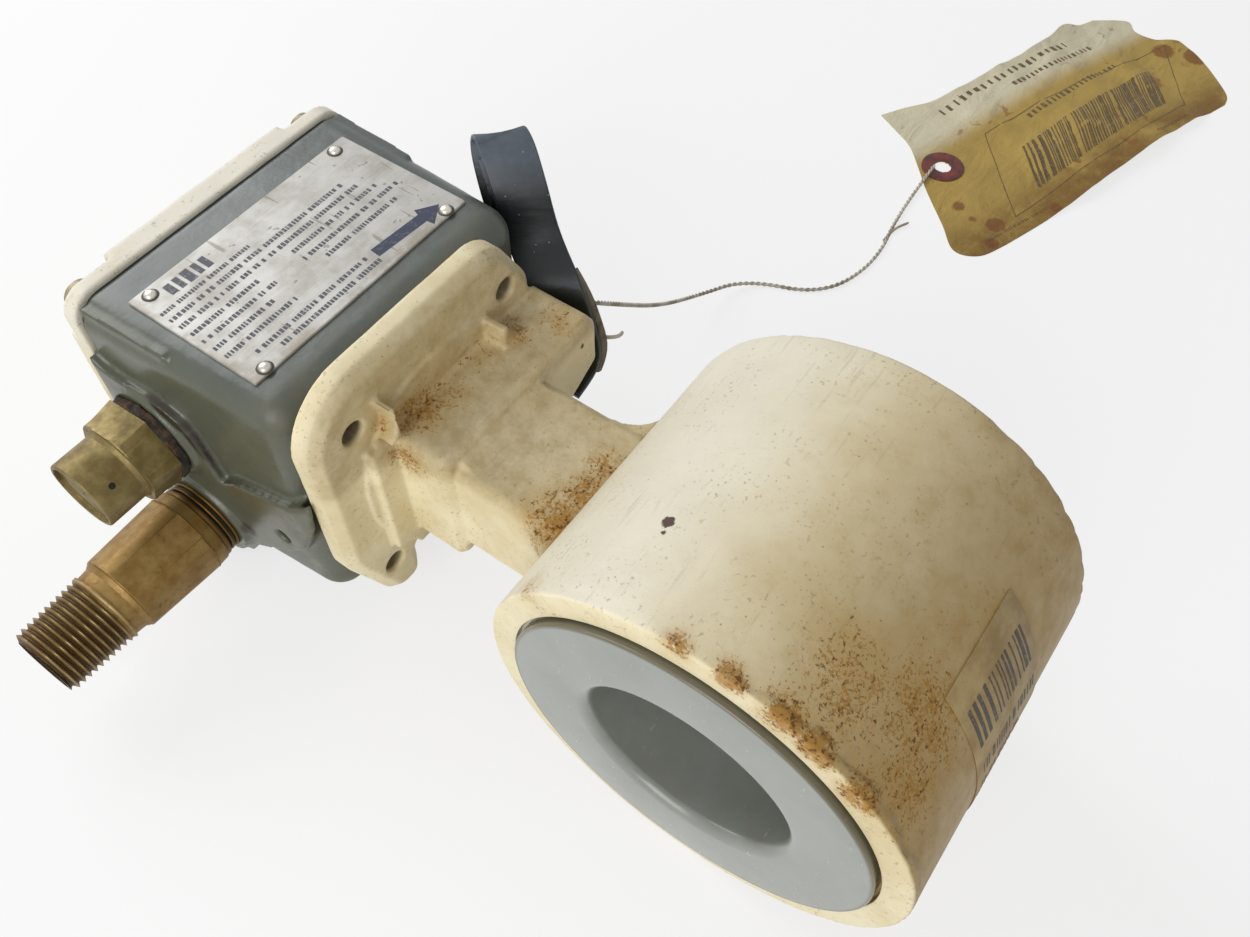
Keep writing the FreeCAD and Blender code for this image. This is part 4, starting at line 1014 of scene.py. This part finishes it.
class FLOWMETER_OT_cover_screws(Step, Operator):
    """Round-headed cover screws, rusted"""
    bl_idname = "flowmeter.cover_screws"
    bl_label = "Cover Screws"

    def build(self, s):
        metal = fitting_metal("cover_screw_metal", srgb(186, 180, 160), srgb(132, 118, 92), 0.5)
        for i in range(1, 5):
            node = "cover_screw_%d" % i
            low, high = lowest(node), highest(node)
            x, z = (low.x + high.x) / 2, (low.z + high.z) / 2
            work = bmesh.new()
            for low_y, high_y, radius in ((high.y - 3.2, high.y, 4.0), (low.y, high.y - 3.2, 2.0)):
                made = bmesh.ops.create_cone(work, cap_ends=True, segments=48, radius1=radius * MM,
                                             radius2=radius * MM, depth=(high_y - low_y) * MM)
                turn = Matrix.Rotation(math.radians(-90), 4, "X")
                shift = Matrix.Translation(Vector((x, (low_y + high_y) / 2, z)) * MM)
                bmesh.ops.transform(work, matrix=shift @ turn, verts=made["verts"])
            rim = [e for e in work.edges if all(v.co.y > (high.y - 0.1) * MM for v in e.verts)]
            bmesh.ops.bevel(work, geom=rim, offset=0.7 * MM, segments=3, affect="EDGES")
            mesh = bpy.data.meshes.new("cover_screw_head_%d" % i)
            work.to_mesh(mesh)
            work.free()
            add_piece("cover_screw_head_%d" % i, mesh, metal, slot="screw_steel", replaces=(node,), sharp=40)


# ---- Strap, tape, string and tag ------------------------------------------------

# Centre and width direction of the strap's front layer at rising heights.
STRAP_FRONT = [((41.9, 97.4, 16.0), (0.544, -0.839, 0)), ((46.8, 106.5, 22.0), (0.577, -0.816, 0)),
               ((49.5, 112.4, 34.0), (0.58, -0.81, 0)), ((54.2, 120.2, 44.0), (0.80, -0.60, 0))]
STRAP_BEHIND = Vector((0.62, 0.78, 0.0))
STRAP_END = [((30.0, 88.0, -8.0), (0, -1, 0)), ((37.6, 88.0, -5.0), (0, -1, 0)),
             ((40.2, 88.2, 0.5), (0, -1, 0)), ((40.9, 91.5, 8.0), (0.2, -0.98, 0))]
# How far each station lies behind the front layer, its height, and how far it leans aside.
STRAP_LOOP = [(0, 16, 0), (0, 22, 0), (0, 33, 0), (0.2, 39, 0), (1.2, 41.4, 0.2), (3.2, 42.4, 0.8),
              (5.4, 41.0, 1.6), (6.4, 37.6, 2.4), (6.6, 30, 3.0), (5.4, 25, 2.8), (4.0, 26, 2.0),
              (3.4, 31, 1.4), (3.2, 39.5, 1.2)]
STRAP_WIDE, STRAP_THICK, TAPE_THICK = 14.0, 1.7, 2.7


def strap_front_at(z):
    pair = (STRAP_FRONT[0], STRAP_FRONT[-1])
    for a, b in zip(STRAP_FRONT, STRAP_FRONT[1:]):
        if a[0][2] <= z <= b[0][2]:
            pair = (a, b)
    (c0, w0), (c1, w1) = pair
    t = max(0.0, min(1.0, (z - c0[2]) / (c1[2] - c0[2])))
    c = Vector(c0).lerp(Vector(c1), t)
    return Vector((c.x, c.y, z)), Vector(w0).lerp(Vector(w1), t).normalized()


def strap_run():
    run = [(Vector(c), Vector(w)) for c, w in STRAP_END]
    for behind, z, aside in STRAP_LOOP:
        c, w = strap_front_at(z)
        run.append((c + STRAP_BEHIND * behind - w * aside, w))
    return run


class FLOWMETER_OT_strap(Step, Operator):
    """Folded rubber strap and the cloth tape that holds it to the boss"""
    bl_idname = "flowmeter.strap"
    bl_label = "Strap and Tape"

    def build(self, s):
        run = strap_run()
        half = STRAP_THICK / 2
        ribbon("strap_band", run, STRAP_WIDE, -half, half, strap_rubber(s.strap), slot="webbing",
               replaces=("strap",), sharp=50)
        ribbon("tape_wrap", run[1:5], STRAP_WIDE + 0.3, half, half + TAPE_THICK, cloth_tape(), edge=0.6,
               slot="grey_tape", replaces=("tape",), sharp=60)


STRING_ROUTE = [(0.04605, 0.08645, 0.0116), (0.055, 0.0866, 0.003), (0.084, 0.092, -0.027),
                (0.110, 0.0936, -0.046), (0.130, 0.087, -0.0514), (0.139, 0.062, -0.0514),
                (0.163, 0.0545, -0.0514), (0.190, 0.060, -0.0514), (0.218, 0.0605, -0.0507)]


# Frayed end beside the string near the tag, and the cut end under the tape, each with its radius.
LOOSE_ENDS = [([(0.174, 0.0575, -0.0514), (0.181, 0.0572, -0.0511), (0.1845, 0.0555, -0.0512),
                (0.1873, 0.0544, -0.0515)], 0.0005),
              ([(0.176, 0.0572, -0.0513), (0.184, 0.0585, -0.0505), (0.190, 0.0588, -0.0509)], 0.0004),
              ([(0.0425, 0.0845, 0.003), (0.0455, 0.0815, 0.0015), (0.0475, 0.0795, 0.0018),
                (0.0482, 0.0795, 0.0032)], 0.0006)]


def spline_points(name, route):
    """Points along a smooth line whose control points are `route`, in metres."""
    curve = bpy.data.curves.new(name, "CURVE")
    curve.dimensions = "3D"
    spline = curve.splines.new("NURBS")
    spline.points.add(len(route) - 1)
    for point, place in zip(spline.points, route):
        point.co = (*place, 1.0)
    spline.order_u = 3
    spline.use_endpoint_u = True
    spline.resolution_u = 24
    holder = bpy.data.objects.new(name, curve)
    bpy.context.scene.collection.objects.link(holder)
    graph = bpy.context.evaluated_depsgraph_get()
    mesh = bpy.data.meshes.new_from_object(holder.evaluated_get(graph))
    points = [v.co.copy() for v in mesh.vertices]
    bpy.data.objects.remove(holder)
    bpy.data.curves.remove(curve)
    bpy.data.meshes.remove(mesh)
    return points


def strand(points, radius, offset=0.0, phase=0.0, pitch=1.0, sides=8):
    """Vertices of one strand wound about a line of points in metres."""
    verts = []
    travelled = 0.0
    last = len(points) - 1
    for i, p in enumerate(points):
        if i:
            travelled += (p - points[i - 1]).length
        d = (points[min(i + 1, last)] - points[max(i - 1, 0)]).normalized()
        across = d.cross(Vector((0, 0, 1))).normalized()
        up = across.cross(d)
        turn = phase + 2 * math.pi * travelled / pitch
        middle = p + (across * math.cos(turn) + up * math.sin(turn)) * offset
        verts += [tuple(middle + (across * math.cos(a) + up * math.sin(a)) * radius) for a in circle(sides)]
    return verts, grid_faces(last + 1, sides, close_columns=True, capped=True)


def strands(name, runs, finish, **extra):
    """One piece from several strands."""
    verts, faces = [], []
    for v, f in runs:
        faces += [tuple(i + len(verts) for i in face) for face in f]
        verts += v
    mesh = bpy.data.meshes.new(name)
    mesh.from_pydata(verts, [], faces)
    return add_piece(name, mesh, finish, slot="string", **extra)


def evenly(points, step):
    """The same line with points `step` metres apart."""
    out = [points[0].copy()]
    need = step
    for a, b in zip(points, points[1:]):
        run = (b - a).length
        while run >= need:
            a = a.lerp(b, need / run)
            out.append(a.copy())
            run = (b - a).length
            need = step
        need -= run
    out.append(points[-1].copy())
    return out


# Edges of the tag as it lies, from its lower corner at the string's end.
TAG_NEAR = [(197, 22), (214, 16.2), (237.5, 9), (256.7, 3.9), (286.8, -4.6), (306.9, -11.3), (316.2, -14.6)]
TAG_FAR_SIDE = [(233.5, 90.5), (241, 86), (250, 78.5), (262, 72.8), (290, 63), (312, 57.5), (324, 56.2),
                (331, 51), (337, 48)]
TAG_LEFT = [(197, 22), (187, 27), (184.2, 35.5), (193.4, 44.5), (206.1, 57.3), (215, 65), (224, 73.5),
            (229, 82), (233.5, 90.5)]
TAG_RIGHT = [(316.2, -14.6), (322.3, -13), (332, -4), (338, 3), (342.5, 11.5), (343.2, 15.5), (339.8, 23),
             (340.2, 31), (345, 36.5), (337, 48)]
# Corners of the printed frame, and rows of dashes as (start, end, height).
TAG_FRAME = [(245, 53), (338, 18), (306, -2), (212, 25)]
TAG_ROWS = [((196.0, 27.5), (223.0, 17.6), 1.0), ((281, 0.6), (298.5, -5.0), 1.0),
            ((275, 56), (318, 41.5), 2.2), ((262, 43.5), (312, 28.5), 2.4), ((247, 72), (312, 50.5), 3.2)]
TAG_HOLE, TAG_HOLE_R = (220.5, 58.0), 3.1
TAG_ALONG = Vector((0.951, -0.309, 0.0))
TAG_WAVE = [(-25, 0.0), (38, 0.0), (50, 0.8), (65, 2.6), (85, 4.0), (105, 3.6), (122, 2.0), (140, 0.0),
            (175, 0.0)]


def along_line(points, t):
    """Point a share `t` of the way along a line of (x, y) points, smoothed."""
    line = smooth_line([Vector((x, y, 0)) for x, y in points], 8)
    lengths = [0.0]
    for a, b in zip(line, line[1:]):
        lengths.append(lengths[-1] + (b - a).length)
    want = t * lengths[-1]
    for i in range(1, len(line)):
        if lengths[i] >= want:
            span = lengths[i] - lengths[i - 1]
            return line[i - 1].lerp(line[i], (want - lengths[i - 1]) / span if span else 0.0)
    return line[-1]


def tag_height(x, y):
    """Height of the card above the surface: a long wave, crinkles, and a far strip bent up."""
    rel = Vector((x - 200.0, y - 64.5, 0.0))
    a = rel.dot(TAG_ALONG) + 8.0
    across = rel.dot(Vector((0.309, 0.951, 0.0)))
    z = 0.0
    for (a0, h0), (a1, h1) in zip(TAG_WAVE, TAG_WAVE[1:]):
        if a0 <= a <= a1:
            t = (a - a0) / (a1 - a0)
            z = h0 + (h1 - h0) * t * t * (3 - 2 * t)
    lift = max(0.0, min(1.0, (across - 22.0) / 12.0))
    free = max(0.0, min(1.0, (a - 38.0) / 30.0))
    crinkle = noise.noise(Vector((x, y, 0)) * 0.06) * 1.2 + noise.noise(Vector((x, y, 4)) * 0.16) * 0.5
    return max(0.0, z + crinkle * free + lift * lift * 2.0 * free)


class FLOWMETER_OT_tag(Step, Operator):
    """Card tag with its washer and print, on a twisted string that lies on the surface"""
    bl_idname = "flowmeter.tag"
    bl_label = "Tag and String"

    def build(self, s):
        self.card(tag_card(s.card))
        washer = self.washer(card_washer())
        self.print_marks()
        line = evenly(spline_points("string_route", STRING_ROUTE), 0.0004)
        twine = cotton()
        pair = [strand(line, 0.0004, 0.0003, phase, 0.0042) for phase in (0.0, math.pi)]
        string = strands("tag_string", pair, twine, replaces=("string",))
        loose = [strand([Vector(p) for p in run], radius) for run, radius in LOOSE_ENDS]
        ends = strands("string_ends", loose, twine)
        soft = ends.modifiers.new("soft", "SUBSURF")
        soft.levels = soft.render_levels = 2

    def card(self, finish):
        columns, rows = 170, 100
        hole = Vector(TAG_HOLE)
        near = [along_line(TAG_NEAR, i / (columns - 1)) for i in range(columns)]
        far = [along_line(TAG_FAR_SIDE, i / (columns - 1)) for i in range(columns)]
        left = [along_line(TAG_LEFT, j / (rows - 1)) for j in range(rows)]
        right = [along_line(TAG_RIGHT, j / (rows - 1)) for j in range(rows)]
        flat = []
        for j in range(rows):
            v = j / (rows - 1)
            for i in range(columns):
                u = i / (columns - 1)
                p = (near[i] * (1 - v) + far[i] * v + left[j] * (1 - u) + right[j] * u
                     - near[0] * (1 - u) * (1 - v) - near[-1] * u * (1 - v)
                     - far[0] * (1 - u) * v - far[-1] * u * v)
                q = Vector((p.x, p.y))
                away = (q - hole).length
                if TAG_HOLE_R - 0.45 < away < TAG_HOLE_R + 0.45:
                    q = hole + (q - hole) * (TAG_HOLE_R / away)
                flat.append(q)
        points = []
        for lift in (CARD_THICK, 0.0):
            points += [(q.x, q.y, SURFACE_Z + tag_height(q.x, q.y) + lift) for q in flat]
        shift = len(flat)
        faces = []
        for top in grid_faces(rows, columns):
            middle = sum((flat[k] for k in top), Vector((0, 0))) / 4
            if (middle - hole).length < TAG_HOLE_R - 0.15:
                continue
            faces.append(top)
            faces.append(tuple(k + shift for k in reversed(top)))
        sides = {}
        for a, b, c, d in faces[::2]:
            for side in ((a, b), (b, c), (c, d), (d, a)):
                sides.setdefault(tuple(sorted(side)), []).append(side)
        for uses in sides.values():
            if len(uses) == 1:
                a, b = uses[0]
                faces.append((b, a, a + shift, b + shift))
        add_piece("tag_card", mesh_from("tag_card", points, faces), finish, slot="tag_card",
                  replaces=("tag",), sharp=60)

    def washer(self, finish):
        hole, rim = TAG_HOLE_R, WASHER_R
        outline = [(0.0, hole), (0.0, rim), (0.22, rim), (0.3, rim - 0.2), (0.32, (rim + hole) / 2),
                   (0.3, hole + 0.2), (0.22, hole)]
        angles = circle(72)
        points = []
        for h, r in outline:
            for a in angles:
                x, y = TAG_HOLE[0] + r * math.cos(a), TAG_HOLE[1] + r * math.sin(a)
                points.append((x, y, SURFACE_Z + 0.36 + tag_height(x, y) + h))
        faces = grid_faces(len(outline), len(angles), close_rows=True, close_columns=True)
        return add_piece("tag_washer", mesh_from("tag_washer", points, faces), finish, slot="tag_card",
                         replaces=("tag_eyelet",), sharp=40)

    def print_marks(self):
        """A thin ruled frame, a block of plain bars and short dashes: no letters."""
        draw = random.Random(11)
        boxes = []

        def mark(a, b, wide):
            """A thin bar from a to b over the card, in short pieces that follow it."""
            a, b = Vector(a), Vector(b)
            steps = max(1, int((b - a).length / 3.0))
            for i in range(steps):
                p, q = a.lerp(b, i / steps), a.lerp(b, (i + 1) / steps)
                side = Vector((-(q - p).y, (q - p).x)).normalized() * wide / 2
                low, high = tag_height(*p), tag_height(*q)
                mid = (p + q) / 2
                half = (q - p) / 2
                z = SURFACE_Z + 0.33 + (low + high) / 2
                boxes.append(((*mid, z), (*half, (high - low) / 2), (*side, 0), 0.04))
        for a, b in zip(TAG_FRAME, TAG_FRAME[1:] + TAG_FRAME[:1]):
            mark(a, b, 0.3)
        top_a, top_b = Vector((246.3, 38.1)), Vector((318.8, 16.7))
        low_a, low_b = Vector((230.7, 24.2)), Vector((302.7, 3.9))
        t = 0.0
        while t < 1.0:
            wide = draw.choice((0.5, 0.5, 0.9, 1.3))
            if not 0.3 < t < 0.33 and not 0.62 < t < 0.64:
                mark(low_a.lerp(low_b, t), top_a.lerp(top_b, t), wide)
            t += (wide + draw.choice((0.5, 0.6, 1.0))) / 75.0
        for a, b, tall in TAG_ROWS:
            a, b = Vector(a), Vector(b)
            t = 0.0
            while t < 1.0:
                step = tall * draw.uniform(0.9, 1.3) / (b - a).length
                mark(a.lerp(b, t), a.lerp(b, min(1.0, t + step * draw.uniform(0.25, 0.55))), tall)
                t += step
        bars("tag_print", boxes, ink("tag_ink", srgb(92, 72, 36), 0.5), slot="tag_card")


class FLOWMETER_OT_sticker(Step, Operator):
    """Paper label round the far side of the body, with plain bars"""
    bl_idname = "flowmeter.sticker"
    bl_label = "Sticker"

    def build(self, s):
        low, high = lowest("sticker"), highest("sticker")
        first, last, rows = math.radians(LABEL_FROM), math.radians(LABEL_TO), 60
        points = []
        outline = rounded([(low.x, 0, 0.12), (high.x, 0, 0.12), (high.x, LABEL_THICK, 0.1),
                           (low.x, LABEL_THICK, 0.1)], 2)
        for i in range(rows + 1):
            a = first + (last - first) * i / rows
            for u, v in outline:
                r = BODY_R + LABEL_GLUE + v
                points.append((u, -r * math.sin(a), r * math.cos(a)))
        faces = grid_faces(rows + 1, len(outline), close_columns=True, capped=True)
        add_piece("side_label", mesh_from("side_label", points, faces), label_paper(), slot="label_paper",
                  replaces=("sticker",), sharp=40)
        draw = random.Random(5)
        marks = []
        for x0, x1, a0, a1 in ((-11, 12, 54, 66), (-11, 12, 72, 76), (-11, 6, 80, 83), (-11, 9, 87, 90)):
            x = x0
            while x < x1:
                wide = draw.choice((0.4, 0.7, 1.1))
                for k in range(3):
                    a = math.radians(a0 + (a1 - a0) * (k + 0.5) / 3)
                    half = math.radians((a1 - a0) / 6) * (BODY_R + LABEL_GLUE + LABEL_THICK)
                    out = Vector((0, -math.sin(a), math.cos(a)))
                    marks.append((Vector((x + wide / 2, 0, 0)) + out * (BODY_R + 0.31), (-wide / 2, 0, 0),
                                  Vector((0, -math.cos(a), -math.sin(a))) * half, 0.04))
                x += wide + draw.choice((0.6, 0.9, 1.4))
        bars("side_label_print", marks, ink("label_ink", srgb(70, 60, 46), 0.5), slot="label_paper")


# ---- Stage ----------------------------------------------------------------------

CAMERA_AT = Vector((-0.1161, -0.0385, 0.2338))
CAMERA_RIGHT = Vector((0.581, -0.814, 0.0))
CAMERA_UP = Vector((0.672, 0.479, 0.565))
FOCAL_LENGTH, SENSOR_WIDTH = 32.99, 36.0
LAMP_SIZE = 0.7
LAMP_AIM = Vector((0.05, 0.06, 0.0))
FLOOR_HALF = 20.0


class FLOWMETER_OT_stage(Step, Operator):
    """Pale floor, soft lamps, white surroundings and the camera"""
    bl_idname = "flowmeter.stage"
    bl_label = "Stage"

    def build(self, s):
        half, z = FLOOR_HALF, SURFACE_Z * MM
        mesh = bpy.data.meshes.new("floor")
        corners = [(-half, -half, z), (half, -half, z), (half, half, z), (-half, half, z)]
        mesh.from_pydata(corners, [], [(0, 1, 2, 3)])
        floor = bpy.data.objects.new("floor", mesh)
        bpy.context.scene.collection.objects.link(floor)
        mesh.materials.append(floor_white())
        self.lamp("lamp_left", (-0.9, -0.1, 0.5), 6.8 * s.lamp_level)
        self.lamp("lamp_top", (0.1, 0.9, 0.55), 6.2 * s.lamp_level)
        self.surroundings()
        self.camera()
        bpy.context.scene.view_settings.view_transform = "Standard"

    def camera(self):
        camera = bpy.data.cameras.new("camera")
        camera.lens = FOCAL_LENGTH
        camera.sensor_width = SENSOR_WIDTH
        camera.clip_start = 0.01
        holder = bpy.data.objects.new("camera", camera)
        right = CAMERA_RIGHT.normalized()
        back = right.cross(CAMERA_UP).normalized()
        up = back.cross(right)
        turn = Matrix((right, up, back)).transposed().to_4x4()
        holder.matrix_world = Matrix.Translation(CAMERA_AT) @ turn
        bpy.context.scene.collection.objects.link(holder)
        bpy.context.scene.camera = holder

    def lamp(self, name, place, watts):
        light = bpy.data.lights.new(name, "AREA")
        light.size = LAMP_SIZE
        light.energy = watts
        holder = bpy.data.objects.new(name, light)
        holder.location = place
        holder.rotation_euler = (LAMP_AIM - Vector(place)).to_track_quat("-Z", "Y").to_euler()
        bpy.context.scene.collection.objects.link(holder)

    def surroundings(self):
        """White to the camera and in reflections, and a dimmer fill for the rest."""
        world = bpy.data.worlds.new("surroundings")
        f = Finish("surroundings", world)
        white, fill = [f.node("ShaderNodeBackground", {"Color": (1, 1, 1), "Strength": level})
                       for level in (1.0, 0.3)]
        bpy.context.scene.world = f.plain_for_rays(white, 1.0, fill, "ShaderNodeOutputWorld")


# ---- Panel and registration -----------------------------------------------------

OPERATORS = (FLOWMETER_OT_stage, FLOWMETER_OT_tag, FLOWMETER_OT_inside, FLOWMETER_OT_body,
             FLOWMETER_OT_lining, FLOWMETER_OT_pedestal, FLOWMETER_OT_junction_box, FLOWMETER_OT_nameplate,
             FLOWMETER_OT_plug, FLOWMETER_OT_nipple, FLOWMETER_OT_seals, FLOWMETER_OT_cover_screws,
             FLOWMETER_OT_strap, FLOWMETER_OT_sticker)


class FLOWMETER_PT_panel(Panel):
    """Lists the pieces of the flow meter"""
    bl_label = "Flow Meter"
    bl_idname = "FLOWMETER_PT_panel"
    bl_space_type = "VIEW_3D"
    bl_region_type = "UI"
    bl_category = "Flow Meter"

    def draw(self, context):
        for name in FlowMeterSettings.__annotations__:
            self.layout.prop(context.scene.flow_meter, name)
        for operator in OPERATORS:
            self.layout.operator(operator.bl_idname)


CLASSES = (FlowMeterSettings, *OPERATORS, FLOWMETER_PT_panel)


def register():
    for c in CLASSES:
        bpy.utils.register_class(c)
    bpy.types.Scene.flow_meter = PointerProperty(type=FlowMeterSettings)


def unregister():
    del bpy.types.Scene.flow_meter
    for c in reversed(CLASSES):
        bpy.utils.unregister_class(c)


def main():
    register()
    for operator in OPERATORS:
        group, name = operator.bl_idname.split(".")
        getattr(getattr(bpy.ops, group), name)()


if __name__ == "__main__":
    main()
